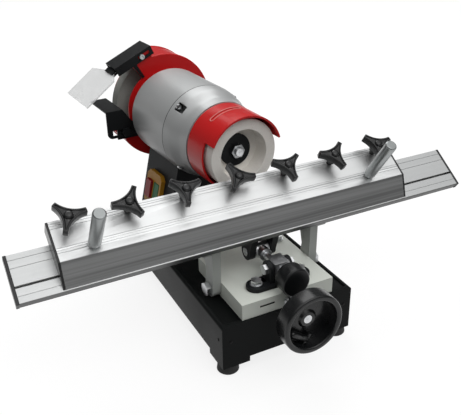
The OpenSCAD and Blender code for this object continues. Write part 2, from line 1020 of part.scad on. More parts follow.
// Guards
module cup_hood() {
    color("#c5211f")
        in_head()
            difference() {
                union() {
                    ring(hood_d, hood_d - 2 * hood_wall, -visor_reach, hood_back);
                    ring(hood_d - hood_wall, hood_hole_d, nose_y - hood_plate_t, nose_y);
                }
                sector(hood_r - 2 * hood_wall, hood_r + overrun, -visor_reach - overrun,
                    hood_step, visor_a1, visor_a0 + 360);
                sector(hood_r - hood_groove_depth, hood_r + overrun, hood_groove_y,
                    hood_groove_y + hood_groove_w, hood_groove_a0, hood_groove_a1);
                for (a = hood_screw_angles)
                    at_angle(a, hood_screw_r)
                        axial(nose_y - hood_plate_t - overrun)
                            cylinder(d = head_screw_d + 2 * run_fit, h = hood_plate_t + 2 * overrun);
            }
}
module rear_guard() {
    color("#b71c1c")
        in_head()
            difference() {
                union() {
                    revolved([
                        [guard_hub_bore / 2, drum_y], [guard_hub_d / 2, drum_y],
                        [guard_hub_d / 2, guard_y], [guard_r, guard_y], [guard_r, cover_y],
                        [guard_r - guard_t, cover_y], [guard_r - guard_t, guard_y + guard_t],
                        [guard_hole_d / 2, guard_y + guard_t], [guard_hole_d / 2, guard_y],
                        [guard_hub_bore / 2, guard_y]
                    ]);
                    for (a = lug_angles)
                        at_angle(a, lug_r)
                            axial(guard_y + guard_t / 2)
                                cylinder(d = lug_d, h = guard_depth - guard_t / 2 - air);
                    shield_frame(guard_y, guard_y + guard_t)
                        translate([-shield_slot_len, -shield_bar_h])
                            square([shield_slot_u + 2 * shield_slot_len, shield_lug_h]);
                }
                guard_opening(cover_y + overrun);
                for (a = lug_angles)
                    at_angle(a, lug_r)
                        axial(cover_y - head_screw_len)
                            cylinder(d = head_screw_d + 2 * run_fit, h = head_screw_len + overrun);
                shield_frame(guard_y - overrun, guard_y + guard_t + overrun)
                    translate([shield_slot_u + shield_slot_w, 0])
                        circle(d = head_screw_d + 2 * run_fit);
            }
}
module guard_opening(y1) {
    sector(guard_ring_d / 2, guard_r + shield_bar_h, guard_y - overrun, y1, open_a0, open_a1);
}
module guard_cover() {
    color("#b71c1c")
        in_head()
            difference() {
                axial(cover_y)
                    cylinder(r = guard_r, h = cover_t);
                guard_opening(cover_y + cover_t + overrun);
                for (a = lug_angles)
                    at_angle(a, lug_r)
                        axial(cover_y - overrun)
                            cylinder(d = head_screw_d + 2 * run_fit, h = cover_t + 2 * overrun);
            }
}

// Eye shield
module shield_frame(y0, y1) {
    along_y(y0, y1)
        translate(shield_u)
            rotate(shield_angle)
                children();
}
module shield_bar() {
    translate([-shield_bar_l / 2, -shield_bar_h / 2])
        square([shield_bar_l, shield_bar_h]);
}
module shield_bracket() {
    color("#1b1c1d")
        in_head()
            difference() {
                union() {
                    shield_frame(shield_cheek_y, shield_cheek_y + shield_t)
                        shield_bar();
                    shield_frame(shield_back_y, shield_back_y + shield_t)
                        shield_bar();
                    shield_frame(shield_cheek_y, shield_back_y + shield_t)
                        translate([-shield_bar_l / 2, shield_bar_h / 2 - shield_t])
                            square([shield_bar_l, shield_t]);
                    sector(guard_ring_d / 2, guard_r + shield_bar_h / 2, spark_strip_y,
                        spark_strip_y + spark_strip_t, open_a0 - spark_strip_angle, open_a0);
                }
                shield_frame(shield_cheek_y - overrun, shield_cheek_y + shield_t + overrun) {
                    translate([shield_slot_u, -shield_slot_w / 2])
                        square([shield_slot_len, shield_slot_w]);
                }
                shield_frame(shield_cheek_y - overrun, shield_back_y + shield_t + overrun)
                    translate([shield_pivot_u, 0])
                        circle(d = shield_rod_d + 2 * run_fit);
            }
}
module on_shield_pivot() {
    in_head()
        on_shield_bar(shield_pivot_u)
            rotate([0, shield_angle - glass_angle, 0])
                children();
}
module shield_clip() {
    clip_y0 = glass_mid - tongue_w / 2 - clip_wall;
    clip_y1 = glass_mid + tongue_w / 2 + clip_wall;
    clip_t = glass_t + 2 * clip_wall;
    color("#1b1c1d")
        on_shield_pivot()
            difference() {
                union() {
                    axial(shield_cheek_y)
                        cylinder(d = shield_rod_d, h = shield_back_y + shield_t - shield_cheek_y);
                    translate([0, clip_y0, -clip_t / 2])
                        cube([clip_len, clip_y1 - clip_y0, clip_t]);
                }
                translate([shield_rod_d / 2 + clip_wall, clip_y0 - overrun, -glass_t / 2 - glide])
                    cube([clip_len, clip_y1 - clip_y0 + 2 * overrun, glass_t + 2 * glide]);
            }
}
module eye_shield() {
    color("#dfe9ee", 0.6)
        on_shield_pivot()
            translate([shield_rod_d / 2 + clip_wall, glass_mid, -glass_t / 2])
                linear_extrude(glass_t)
                    polygon([
                        [0, -tongue_w / 2], [glass_neck, -tongue_w / 2],
                        [glass_shoulder, glass_back - glass_w / 2], [glass_len, glass_back - glass_w / 2],
                        [glass_len, glass_back + glass_w / 2], [glass_shoulder, glass_back + glass_w / 2],
                        [glass_neck, tongue_w / 2], [0, tongue_w / 2]
                    ]);
}

// Tool rest
module rest_bracket() {
    color("#1b1c1d")
        in_head()
            difference() {
                along_y(guard_y - rest_t, guard_y)
                    translate([rest_bolt_x - rest_arm_h / 2, rest_slot_z - rest_arm_h / 2])
                        square([rest_arm_x - rest_bolt_x + rest_arm_h / 2, rest_arm_h]);
                rest_bolt_hole(guard_y - rest_t - overrun, guard_y + overrun);
                axial(guard_y - rest_t - overrun)
                    cylinder(d = guard_hub_d + 2 * air, h = rest_t + 2 * overrun);
            }
}
module rest_bolt_hole(y0, y1) {
    along_y(y0, y1)
        translate([rest_bolt_x, rest_slot_z])
            circle(d = bolt_d + 2 * run_fit);
}
module tool_rest() {
    color("#202122")
        in_head()
            difference() {
                union() {
                    along_y(rest_y, rest_y + rest_t)
                        hull() {
                            translate([rest_x0 + rest_round, rest_low + rest_round])
                                circle(r = rest_round);
                            translate([rest_x0, rest_top - rest_t])
                                square([rest_x1 - rest_x0, rest_t]);
                            translate([rest_plate_x - rest_t, rest_low])
                                square([rest_t, rest_tab_h]);
                        }
                    translate([rest_x0, rest_y, rest_top - rest_t])
                        cube([rest_x1 - rest_x0, cover_y - rest_y, rest_t]);
                }
                along_y(rest_y - overrun, rest_y + rest_t + overrun)
                    translate([rest_slot_x, rest_slot_z - rest_slot_w / 2])
                        square([rest_slot_len, rest_slot_w]);
            }
}
module rest_bolt() {
    color("#a2a5a8")
        in_head()
            translate([rest_bolt_x, 0, rest_slot_z])
                axial(rest_y - air)
                    hex_bolt(bolt_d, bolt_af, bolt_head_h, guard_y - rest_y + air);
}

// Cross slide
module slide_cut() {
    low = way_w / 2 - way_slope + glide;
    wide = way_w / 2 + glide;
    y0 = slide_y + front_wall;
    y1 = slide_back + overrun;
    along_y(y0, y1)
        polygon([
            [-low, tray_z], [low, tray_z],
            [wide, tray_z + way_h + glide], [-wide, tray_z + way_h + glide]
        ]);
    translate([-channel_w / 2 - glide, y0, slide_z - overrun])
        cube([channel_w + 2 * glide, y1 - y0, channel_top - slide_z + overrun]);
}
module strip_bolt_places() {
    for (sx = [-1, 1])
        translate([sx * (slide_w / 2 - strip_bolt_in), strip_y + strip_len / 2, slide_top])
            children();
}
module bracket_bolt_places() {
    for (sx = [-1, 1])
        translate([sx * bracket_bolt_x, bracket_bolt_y, slide_top + bracket_t])
            children();
}
module cross_slide() {
    color("#b9bcb0")
        difference() {
            translate([-slide_w / 2, slide_y, slide_z])
                cube([slide_w, slide_len, slide_h]);
            translate([-slide_w / 2 - overrun, strip_y, slide_top - strip_h])
                cube([slide_w + 2 * overrun, strip_len + overrun, strip_h + overrun]);
            slide_cut();
            translate([0, slide_y - overrun, screw_z])
                rotate([-90, 0, 0])
                    cylinder(d = journal_d + 2 * run_fit, h = front_wall + 2 * overrun);
            translate([slot_x, slide_y - overrun, slide_z + slot_rise])
                cube([slot_w, slot_depth + overrun, slot_h]);
            mirrored_x()
                translate([0, pivot_y, pivot_z])
                    rod_x(pivot_bolt_d + 2 * run_fit, slide_w / 2 - pivot_depth, slide_w / 2 + overrun);
            strip_bolt_places()
                bolt_hole();
            bracket_bolt_places()
                bolt_hole();
        }
}
module bolt_hole() {
    depth = bolt_len - washer_t + air;
    translate([0, 0, -depth])
        cylinder(d = bolt_d + 2 * run_fit, h = depth + overrun);
}
module slide_strip() {
    color("#b4b7ab")
        difference() {
            translate([-slide_w / 2, strip_y + glide, slide_top - strip_h])
                cube([slide_w, strip_len - glide, strip_h]);
            strip_bolt_places()
                bolt_hole();
            slide_cut();
        }
}
module washered_bolt() {
    translate([0, 0, washer_t])
        mirror([0, 0, 1])
            hex_bolt(bolt_d, bolt_af, bolt_head_h, bolt_len);
    difference() {
        cylinder(d = washer_d, h = washer_t);
        translate([0, 0, -overrun])
            cylinder(d = bolt_d - 2 * glide, h = washer_t + 2 * overrun);
    }
}
module slide_bolts() {
    color("#b4b7ba") {
        strip_bolt_places()
            washered_bolt();
        bracket_bolt_places()
            washered_bolt();
    }
}
module swivel_bracket() {
    color("#1a1b1c")
        difference() {
            union() {
                translate([-bracket_bolt_x, bracket_bolt_y - bracket_w / 2, slide_top])
                    cube([2 * bracket_bolt_x, bracket_w, bracket_t]);
                for (sx = [-1, 1])
                    translate([sx * bracket_bolt_x, bracket_bolt_y, slide_top])
                        cylinder(d = bracket_w, h = bracket_t);
                mirrored_x() {
                    translate([cheek_gap / 2, swivel_y - cheek_d / 2, slide_top])
                        cube([cheek_t, cheek_d, rod_rise]);
                    translate([0, swivel_y, rod_z])
                        rod_x(cheek_d, cheek_gap / 2, cheek_gap / 2 + cheek_t);
                }
            }
            bracket_bolt_places()
                bolt_hole();
            translate([0, swivel_y, rod_z])
                rod_x(swivel_bolt_d + 2 * run_fit, -cheek_gap, cheek_gap);
        }
}
module side_bolt(x, d, af, head_h, len) {
    translate([x, 0, 0])
        rotate([0, -90, 0])
            hex_bolt(d, af, head_h, len);
}
module pivot_bolts() {
    head_x = arm_x + arm_t + air;
    shank = head_x - slide_w / 2 + pivot_depth - air;
    swivel_head_x = cheek_gap / 2 + cheek_t;
    swivel_shank = swivel_head_x - swivel_w / 2 + swivel_bolt_in;
    color("#b9bcbe")
        mirrored_x() {
            translate([0, pivot_y, pivot_z])
                side_bolt(head_x, pivot_bolt_d, pivot_af, pivot_head_h, shank);
            translate([0, swivel_y, rod_z])
                side_bolt(swivel_head_x, swivel_bolt_d, bolt_af, bolt_head_h, swivel_shank);
        }
}

// Feed screw and handwheel
module feed_screw() {
    thread_y = slide_y + front_wall + air;
    collar_back = slide_y - air;
    color("#a8abae")
        translate([0, 0, screw_z]) {
            rotate([-90, 0, 0])
                rotate_extrude()
                    polygon([
                        [0, hand_y - hub_len], [journal_d / 2, hand_y - hub_len],
                        [journal_d / 2, collar_back - collar_w], [collar_d / 2, collar_back - collar_w],
                        [collar_d / 2, collar_back], [journal_d / 2, collar_back],
                        [journal_d / 2, thread_y], [screw_d / 2, thread_y],
                        [screw_d / 2, way_y + way_len - screw_tail], [0, way_y + way_len - screw_tail]
                    ]);
        }
}
module on_handwheel() {
    translate([0, hand_y, screw_z])
        rotate([90, 0, 0])
            children();
}
module on_grip_pivot() {
    on_handwheel()
        rotate([0, 0, grip_pivot_angle])
            translate([grip_pivot_r, 0, grip_lift])
                rotate([0, 0, grip_lie_angle - grip_pivot_angle])
                    children();
}
module handwheel() {
    r = hand_d / 2;
    rim_front = rim_back + hand_rim_w;
    inner = r - rim_t;
    color("#141516")
        difference() {
            union() {
                on_handwheel()
                    rotate_extrude()
                        polygon(concat(
                            [[journal_d / 2 + glide, 0], [hub_d / 2, 0], [hub_d / 2, rim_back]],
                            arc(r - rim_round, rim_back + rim_round, rim_round, -90, 0),
                            arc(r - rim_round, rim_front - rim_round, rim_round, 0, 90),
                            arc(inner + rim_round, rim_front - rim_round, rim_round, 90, 180),
                            [
                                [inner, web_front], [hub_d / 2, web_front],
                                [hub_d / 2 - rim_round, hub_len], [journal_d / 2 + glide, hub_len]
                            ]));
                grip_lugs();
            }
            on_grip_pivot()
                rotate([90, 0, 0])
                    translate([0, 0, -grip_hole_len / 2])
                        cylinder(d = grip_pin_d + 2 * run_fit, h = grip_hole_len);
        }
}
module grip_lugs() {
    lug_low = grip_lift - web_front + overrun;
    on_grip_pivot()
        for (sy = [-1, 1])
            translate([0, sy * (grip_barrel_w / 2 + grip_lug_w / 2 + air), 0]) {
                translate([-grip_d / 3, -grip_lug_w / 2, -lug_low])
                    cube([grip_d * 2 / 3, grip_lug_w, lug_low]);
                translate([0, grip_lug_w / 2, 0])
                    rotate([90, 0, 0])
                        cylinder(d = grip_d * 2 / 3, h = grip_lug_w);
            }
}
module fold_handle() {
    color("#1c1d1e")
        on_grip_pivot() {
            rotate([90, 0, 0])
                translate([0, 0, -grip_barrel_w / 2 - grip_lug_w])
                    cylinder(d = grip_pin_d, h = grip_barrel_w + 2 * grip_lug_w);
            rotate([90, 0, 0])
                translate([0, 0, -grip_barrel_w / 2])
                    cylinder(d = grip_d * 3 / 4, h = grip_barrel_w);
            rotate([0, 90, 0])
                cylinder(d = grip_barrel_w, h = grip_len - grip_d / 2);
            translate([grip_d, 0, 0])
                rotate([0, 90, 0])
                    cylinder(d = grip_d, h = grip_len - grip_d * 3 / 2);
            translate([grip_len - grip_d / 2, 0, 0])
                sphere(d = grip_d);
        }
}

// Tilting rail
module t_slot(neck_w, head_w, neck_h, head_h, top) {
    translate([key_s - neck_w / 2, top - neck_h])
        square([neck_w, neck_h + overrun]);
    translate([key_s - head_w / 2, top - neck_h - head_h])
        square([head_w, head_h]);
}
module lower_rail() {
    back_s = key_s + key_head_w / 2 + 2 * rail_wall;
    front_s = key_s - key_head_w / 2 - 2 * rail_wall;
    color("#c6c9cb")
        in_rail()
            difference() {
                along_x(-rail_len / 2, rail_len / 2)
                    difference() {
                        translate([0, -rail_t])
                            square([rail_w, rail_t]);
                        t_slot(key_neck_w, key_head_w, key_neck_h, key_head_h, 0);
                        translate([rail_wall, rail_wall - rail_t])
                            square([front_s - rail_wall, rail_t - 2 * rail_wall]);
                        translate([back_s, rail_wall - rail_t])
                            square([rail_w - rail_wall - back_s, rail_t - 2 * rail_wall]);
                        for (s = rail_line_s)
                            translate([s, -line_depth])
                                square([line_w, line_depth + overrun]);
                    }
                arm_screw_places()
                    translate([0, 0, -overrun])
                        cylinder(d = arm_screw_d + 2 * run_fit, h = arm_screw_bite + overrun + air);
            }
}
module rail_caps() {
    color("#141414")
        in_rail()
            for (x = [-rail_len / 2 - cap_t, rail_len / 2])
                translate([x, -cap_over, -rail_t - cap_over])
                    cube([cap_t, rail_w + 2 * cap_over, rail_t + cap_over]);
}
module arm_screw_places() {
    for (sx = [-1, 1])
        for (s = [arm_s0 + arm_screw_in, arm_s1 - arm_screw_in])
            translate([sx * (arm_x + arm_t + (arm_flange_w - arm_t) / 2), s, -rail_t])
                children();
}
module tilt_arms() {
    under = -rail_t - arm_flange_t / 2;
    front_top = rail_point(arm_s0, under);
    back_top = rail_point(arm_s1, under);
    waist_z = pivot_z + (front_top[1] - pivot_z) * arm_waist_share;
    waist_y = pivot_y + (front_top[0] - pivot_y) * arm_waist_share / 2;
    color("#aeb4b1")
        difference() {
            union() {
                mirrored_x()
                    along_x(arm_x, arm_x + arm_t)
                        polygon([
                            [pivot_y - arm_eye_d / 2, pivot_z], [waist_y - arm_waist / 2, waist_z],
                            front_top, back_top, [waist_y + arm_waist / 2, waist_z],
                            [pivot_y + arm_eye_d / 2, pivot_z]
                        ]);
                mirrored_x()
                    translate([0, pivot_y, pivot_z])
                        rod_x(arm_eye_d, arm_x, arm_x + arm_t);
                mirrored_x()
                    in_rail()
                        translate([arm_x, arm_s0, -rail_t - arm_flange_t])
                            cube([arm_flange_w, arm_s1 - arm_s0, arm_flange_t]);
            }
            mirrored_x()
                translate([0, pivot_y, pivot_z])
                    rod_x(pivot_bolt_d + 2 * run_fit, arm_x - overrun, arm_x + arm_t + overrun);
            in_rail()
                arm_screw_places()
                    translate([0, 0, -arm_flange_t - overrun])
                        cylinder(d = arm_screw_d + 2 * run_fit, h = arm_flange_t + 2 * overrun);
        }
}
module arm_screws() {
    color("#8f9295")
        in_rail()
            arm_screw_places()
                translate([0, 0, -arm_flange_t])
                    socket_screw(arm_screw_d, arm_screw_head_d, arm_screw_head_h, arm_screw_len);
}
module rail_clevis() {
    under = -rail_t - clevis_flange_t / 2;
    front_top = rail_point(clevis_s0, under);
    back_top = rail_point(clevis_s1, under);
    color("#17181a")
        difference() {
            union() {
                in_rail()
                    translate([-clevis_flange_w / 2, clevis_s0, -rail_t - clevis_flange_t])
                        cube([clevis_flange_w, clevis_s1 - clevis_s0, clevis_flange_t]);
                mirrored_x() {
                    along_x(clevis_gap / 2, clevis_gap / 2 + clevis_ear_t)
                        polygon([
                            [trunnion_y - clevis_eye_d / 2, rod_z], front_top, back_top,
                            [trunnion_y + clevis_eye_d / 2, rod_z]
                        ]);
                    translate([0, trunnion_y, rod_z])
                        rod_x(clevis_eye_d, clevis_gap / 2, clevis_gap / 2 + clevis_ear_t);
                }
            }
            translate([0, trunnion_y, rod_z])
                rod_x(trunnion_pin_d + 2 * glide, -clevis_flange_w, clevis_flange_w);
        }
}
module trunnion_pin() {
    half = clevis_gap / 2 + clevis_ear_t + 1;
    color("#9fa2a5")
        translate([0, trunnion_y, rod_z])
            rod_x(trunnion_pin_d, -half, half);
}

// Angle adjuster
module along_rod(y0, y1, d) {
    translate([0, y0, rod_z])
        rotate([-90, 0, 0])
            cylinder(d = d, h = y1 - y0);
}
module trunnion_block() {
    color("#85898c")
        difference() {
            union() {
                translate([0, trunnion_y, rod_z])
                    rod_x(trunnion_block_d, -trunnion_block_w / 2, trunnion_block_w / 2);
                along_rod(trunnion_y - trunnion_block_d / 2 - trunnion_nose, trunnion_y, trunnion_nose_d);
            }
            translate([0, trunnion_y, rod_z])
                rod_x(trunnion_pin_d + 2 * trunnion_play, -trunnion_block_w, trunnion_block_w);
            along_rod(trunnion_y - trunnion_block_d, trunnion_y - trunnion_block_d / 2,
                rod_tip_d + 2 * run_fit);
        }
}
module swivel_block() {
    color("#c4c7c9")
        difference() {
            translate([-swivel_w / 2, swivel_y - swivel_len / 2, rod_z - swivel_d / 2])
                cube([swivel_w, swivel_len, swivel_d]);
            along_rod(swivel_y - swivel_len, swivel_y + swivel_len, rod_d + 2 * run_fit);
            translate([0, swivel_y, rod_z])
                rod_x(swivel_bolt_d + 2 * run_fit, -swivel_w, swivel_w);
        }
}
module adjust_rod() {
    shoulder_y = trunnion_y - trunnion_block_d / 2 - trunnion_nose - air;
    knob_y = swivel_y - swivel_len / 2 - knob_gap;
    color("#8b9094") {
        along_rod(knob_y - adjust_len / 2, shoulder_y, rod_d);
        along_rod(shoulder_y, shoulder_y + trunnion_nose, rod_tip_d);
    }
}
module angle_knob() {
    knob_y = swivel_y - swivel_len / 2 - knob_gap;
    front_y = knob_y - adjust_len;
    r = adjust_d / 2;
    color("#121314")
        translate([0, 0, rod_z])
            rotate([-90, 0, 0])
                rotate_extrude()
                    polygon(concat(
                        [[0, front_y]],
                        arc(r - rim_round, front_y + rim_round, rim_round, -90, 0),
                        [
                            [r, knob_y - adjust_hub_len - rim_round],
                            [r - rim_round, knob_y - adjust_hub_len],
                            [adjust_hub_d / 2, knob_y - adjust_hub_len],
                            [adjust_hub_d / 2, knob_y], [rod_d / 2 + glide, knob_y],
                            [rod_d / 2 + glide, knob_y - adjust_len / 2], [0, knob_y - adjust_len / 2]
                        ]));
}

// Knife holder
module knob_places() {
    for (i = [0:knob_count - 1])
        translate([holder_x + knob_shift + (i - (knob_count - 1) / 2) * knob_pitch, knob_s, 0])
            children();
}
module pin_places() {
    for (sx = [-1, 1])
        translate([holder_x + pin_shift + sx * pin_span / 2, pin_s, holder_top])
            children();
}
module holder_outline() {
    polygon([
        [holder_s, holder_z], [holder_back, holder_z],
        [holder_back, holder_top], [ridge_s, holder_top], [holder_s, holder_z + cap_over]
    ]);
}
module knife_holder() {
    slit_z = holder_z + jaw_t;
    core_s = ridge_s + holder_wall;
    core_h = holder_h - 2 * holder_wall - pin_stud_len;
    color("#d3d6d8")
        in_rail()
            difference() {
                union() {
                    along_x(holder_x - holder_len / 2, holder_x + holder_len / 2)
                        difference() {
                            holder_outline();
                            translate([slit_s, slit_z])
                                square([holder_back - slit_s + overrun, slit_h]);
                            translate([core_s, holder_z + holder_wall])
                                square([slit_s - core_s - holder_wall, core_h]);
                            for (s = holder_lines_s)
                                translate([s, holder_top - line_depth])
                                    square([line_w, line_depth + overrun]);
                        }
                    along_x(holder_x - key_len / 2, holder_x + key_len / 2)
                        holder_key();
                }
                knob_places()
                    translate([0, 0, slit_z])
                        cylinder(d = stud_d + 4 * run_fit, h = holder_h);
                pin_places()
                    translate([0, 0, -pin_stud_len])
                        cylinder(d = pin_stud_d + 2 * run_fit, h = pin_stud_len + overrun);
            }
}
module holder_key() {
    neck = key_neck_w - 2 * air;
    head = key_head_w - 2 * air;
    low = key_neck_h + key_head_h - air;
    translate([key_s - neck / 2, -key_neck_h - air])
        square([neck, key_neck_h + air + holder_z + overrun]);
    translate([key_s - head / 2, -low])
        square([head, low - key_neck_h - air]);
}
module holder_caps() {
    color("#131313")
        in_rail()
            for (x = [-holder_len / 2 - cap_t * 3 / 4, holder_len / 2])
                along_x(holder_x + x, holder_x + x + cap_t * 3 / 4)
                    holder_outline();
}
module push_pins() {
    color("#b2b0a8")
        in_rail()
            pin_places()
                rotate_extrude()
                    polygon([
                        [0, air - pin_stud_len], [pin_stud_d / 2, air - pin_stud_len],
                        [pin_stud_d / 2, 0], [pin_foot_d / 2, 0], [pin_d / 2, pin_cone_h],
                        [pin_d / 2, pin_len - pin_chamfer],
                        [pin_d / 2 - pin_chamfer, pin_len], [0, pin_len]
                    ]);
}
module clamp_bar() {
    color("#8d9194")
        in_rail()
            difference() {
                along_x(holder_x - holder_len / 2 + bar_end, holder_x + holder_len / 2 - bar_end)
                    translate([bar_s0, bar_z])
                        square([holder_back - bar_s0 - air, bar_t]);
                knob_places()
                    translate([0, 0, bar_z + bar_t - stud_tip_len - air])
                        cylinder(d = stud_tip_d + 2 * run_fit, h = stud_tip_len + overrun + air);
            }
}
module knob_star() {
    tip_angle = asin(arm_tip_w / 2 / knob_arm_r);
    tip_out = knob_arm_r * cos(60 - tip_angle) - knob_waist_r;
    tip_side = knob_arm_r * sin(60 - tip_angle);
    hollow_r = (tip_out * tip_out + tip_side * tip_side) / (2 * tip_out);
    difference() {
        circle(r = knob_arm_r);
        for (k = [0:2])
            rotate(60 + 120 * k)
                translate([knob_waist_r + hollow_r, 0])
                    circle(r = hollow_r);
    }
}
module clamp_knob(i) {
    head_z = holder_top + knob_rise;
    stud_z = bar_z + bar_t;
    color("#222325")
        in_rail()
            translate([holder_x + knob_shift + (i - (knob_count + 1) / 2) * knob_pitch, knob_s, 0])
                rotate([0, 0, knob_turns[i - 1]]) {
                    translate([0, 0, stud_z - stud_tip_len])
                        cylinder(d = stud_tip_d, h = stud_tip_len + overrun);
                    translate([0, 0, stud_z + glide])
                        cylinder(d = stud_d, h = head_z - stud_z);
                    translate([0, 0, holder_top + knob_rise / 2])
                        cylinder(d = neck_d, h = knob_rise / 2 + overrun);
                    translate([0, 0, head_z])
                        linear_extrude(knob_head_h)
                            knob_star();
                    translate([0, 0, head_z + knob_head_h - overrun])
                        cylinder(d = knob_cap_d, h = knob_cap_h + overrun);
                }
}
module clamp_knob_1() { clamp_knob(1); }
module clamp_knob_2() { clamp_knob(2); }
module clamp_knob_3() { clamp_knob(3); }
module clamp_knob_4() { clamp_knob(4); }
module clamp_knob_5() { clamp_knob(5); }
module clamp_knob_6() { clamp_knob(6); }
module clamp_knob_7() { clamp_knob(7); }

base_shell();
rubber_feet();
base_screws();
slide_way();
feed_nut();
pedestal();
switch_frame();
motor_bell();
motor_drum();
head_screws();
stator_core();
stator_windings();
spindle_bearings();
run_capacitor();
cup_hood();
rear_guard();
guard_cover();
shield_bracket();
rest_bracket();
rest_bolt();
start_button();
stop_button();
shield_clip();
eye_shield();
tool_rest();
motor_shaft();
rotor_core();
cup_wheel();
wheel_flanges();
spindle_nuts();
rear_wheel();
cross_slide();
slide_strip();
slide_bolts();
swivel_bracket();
pivot_bolts();
feed_screw();
handwheel();
fold_handle();
lower_rail();
rail_caps();
tilt_arms();
arm_screws();
rail_clevis();
trunnion_pin();
swivel_block();
trunnion_block();
adjust_rod();
angle_knob();
knife_holder();
holder_caps();
push_pins();
clamp_bar();
clamp_knob_1();
clamp_knob_2();
clamp_knob_3();
clamp_knob_4();
clamp_knob_5();
clamp_knob_6();
clamp_knob_7();
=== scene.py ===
"""Looks of the planer knife grinder: finishes for its solids, and shaped pieces over some of them."""

import json
import math

import bpy
import bmesh
import numpy as np
from mathutils import Matrix, Vector


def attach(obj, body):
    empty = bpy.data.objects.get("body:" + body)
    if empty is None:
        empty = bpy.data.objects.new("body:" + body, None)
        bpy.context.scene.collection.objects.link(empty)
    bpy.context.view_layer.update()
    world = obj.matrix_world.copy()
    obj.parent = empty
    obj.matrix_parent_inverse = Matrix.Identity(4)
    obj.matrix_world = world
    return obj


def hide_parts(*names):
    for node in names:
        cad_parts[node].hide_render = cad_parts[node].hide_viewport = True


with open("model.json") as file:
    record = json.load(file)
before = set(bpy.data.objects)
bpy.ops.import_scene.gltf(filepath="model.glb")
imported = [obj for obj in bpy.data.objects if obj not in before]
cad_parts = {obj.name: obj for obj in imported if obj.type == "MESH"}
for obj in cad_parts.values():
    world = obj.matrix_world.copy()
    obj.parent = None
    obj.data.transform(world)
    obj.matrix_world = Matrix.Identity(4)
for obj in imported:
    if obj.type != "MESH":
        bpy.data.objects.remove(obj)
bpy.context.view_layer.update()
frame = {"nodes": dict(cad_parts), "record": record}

MM = 0.001

# Camera, fitted to the photograph: 461 pixels wide
PHOTO_WIDTH = 461
FOCAL_PIXELS = 669.7
SENSOR_MM = 36.0
CAMERA_PLACE = (-387.7 * MM, -797.8 * MM, 601.3 * MM)
CAMERA_YAW = math.radians(26.57)
CAMERA_PITCH = math.radians(27.51)
CAMERA_ROLL = math.radians(1.06)

# Frames of the object's two slanted groups
RAIL_TILT = math.radians(34.5)
RAIL_EDGE = np.array((0.0, -137.8, 161.4)) * MM
HEAD_CANT = math.radians(4.0)
HEAD_PLACE = np.array((0.0, -66.0, 249.0)) * MM

# Along the motor from the cup wheel's face: the bell's nose, its screw pockets and its seam with the drum
NOSE_Y, NOSE_R = 72 * MM, 58.5 * MM
POCKET_FRONT, POCKET_BACK = 84 * MM, 104 * MM
POCKET_TURN = math.radians(43)
SEAM_Y, SHELL_R = 112 * MM, 66.5 * MM

# Middle of the slot in the slide's front face
SLOT = (-31.8 * MM, -187.3 * MM, 92.2 * MM)


# Shader arithmetic


class Value:
    """A socket of a node tree. The operators add Math nodes."""

    def __init__(self, nodes, socket):
        self.nodes = nodes
        self.socket = socket

    def maths(self, operation, *others):
        return self.nodes.node("ShaderNodeMath", {"operation": operation}, dict(enumerate((self,) + others)))

    def clipped(self):
        """The value held between 0 and 1."""
        return self.nodes.node("ShaderNodeClamp", {}, {"Value": self})

    def step(self, low, high):
        """Rises smoothly from 0 at low to 1 at high."""
        return self.nodes.node("ShaderNodeMapRange", {"interpolation_type": "SMOOTHSTEP"},
                               {"Value": self, "From Min": low, "From Max": high})

    def __add__(self, other):
        return self.maths("ADD", other)

    __radd__ = __add__

    def __mul__(self, other):
        return self.maths("MULTIPLY", other)

    __rmul__ = __mul__

    def __sub__(self, other):
        return self.maths("SUBTRACT", other)

    def __rsub__(self, other):
        return (self * -1.0) + other

    def __pow__(self, other):
        return self.maths("POWER", other)


class Nodes:
    """A node tree. node() adds a node and returns one of its outputs as a Value."""

    def __init__(self, tree):
        self.tree = tree

    def node(self, kind, settings, inputs, output=0):
        made = self.tree.nodes.new(kind)
        for key, value in settings.items():
            if key == "stops":
                self.set_stops(made.color_ramp, value)
            else:
                setattr(made, key, value)
        for key, value in inputs.items():
            self.feed(made.inputs[key], value)
        return Value(self, made.outputs[output])

    def set_stops(self, ramp, stops):
        while len(ramp.elements) < len(stops):
            ramp.elements.new(1.0)
        for element, (at, grey) in zip(ramp.elements, stops):
            element.position = at
            element.color = (grey, grey, grey, 1.0)

    def feed(self, socket, value):
        if isinstance(value, Value):
            self.tree.links.new(value.socket, socket)
        else:
            socket.default_value = value

    def dot(self, vector, direction):
        """How far a vector reaches along a direction."""
        inputs = {0: vector, 1: direction}
        return self.node("ShaderNodeVectorMath", {"operation": "DOT_PRODUCT"}, inputs, "Value")

    def seen(self):
        """1 for rays from the camera and for what mirrors and glass show of it."""
        rays = ("Is Camera Ray", "Is Glossy Ray", "Is Transmission Ray")
        camera, glossy, through = [self.node("ShaderNodeLightPath", {}, {}, ray) for ray in rays]
        return (camera + glossy + through).clipped()


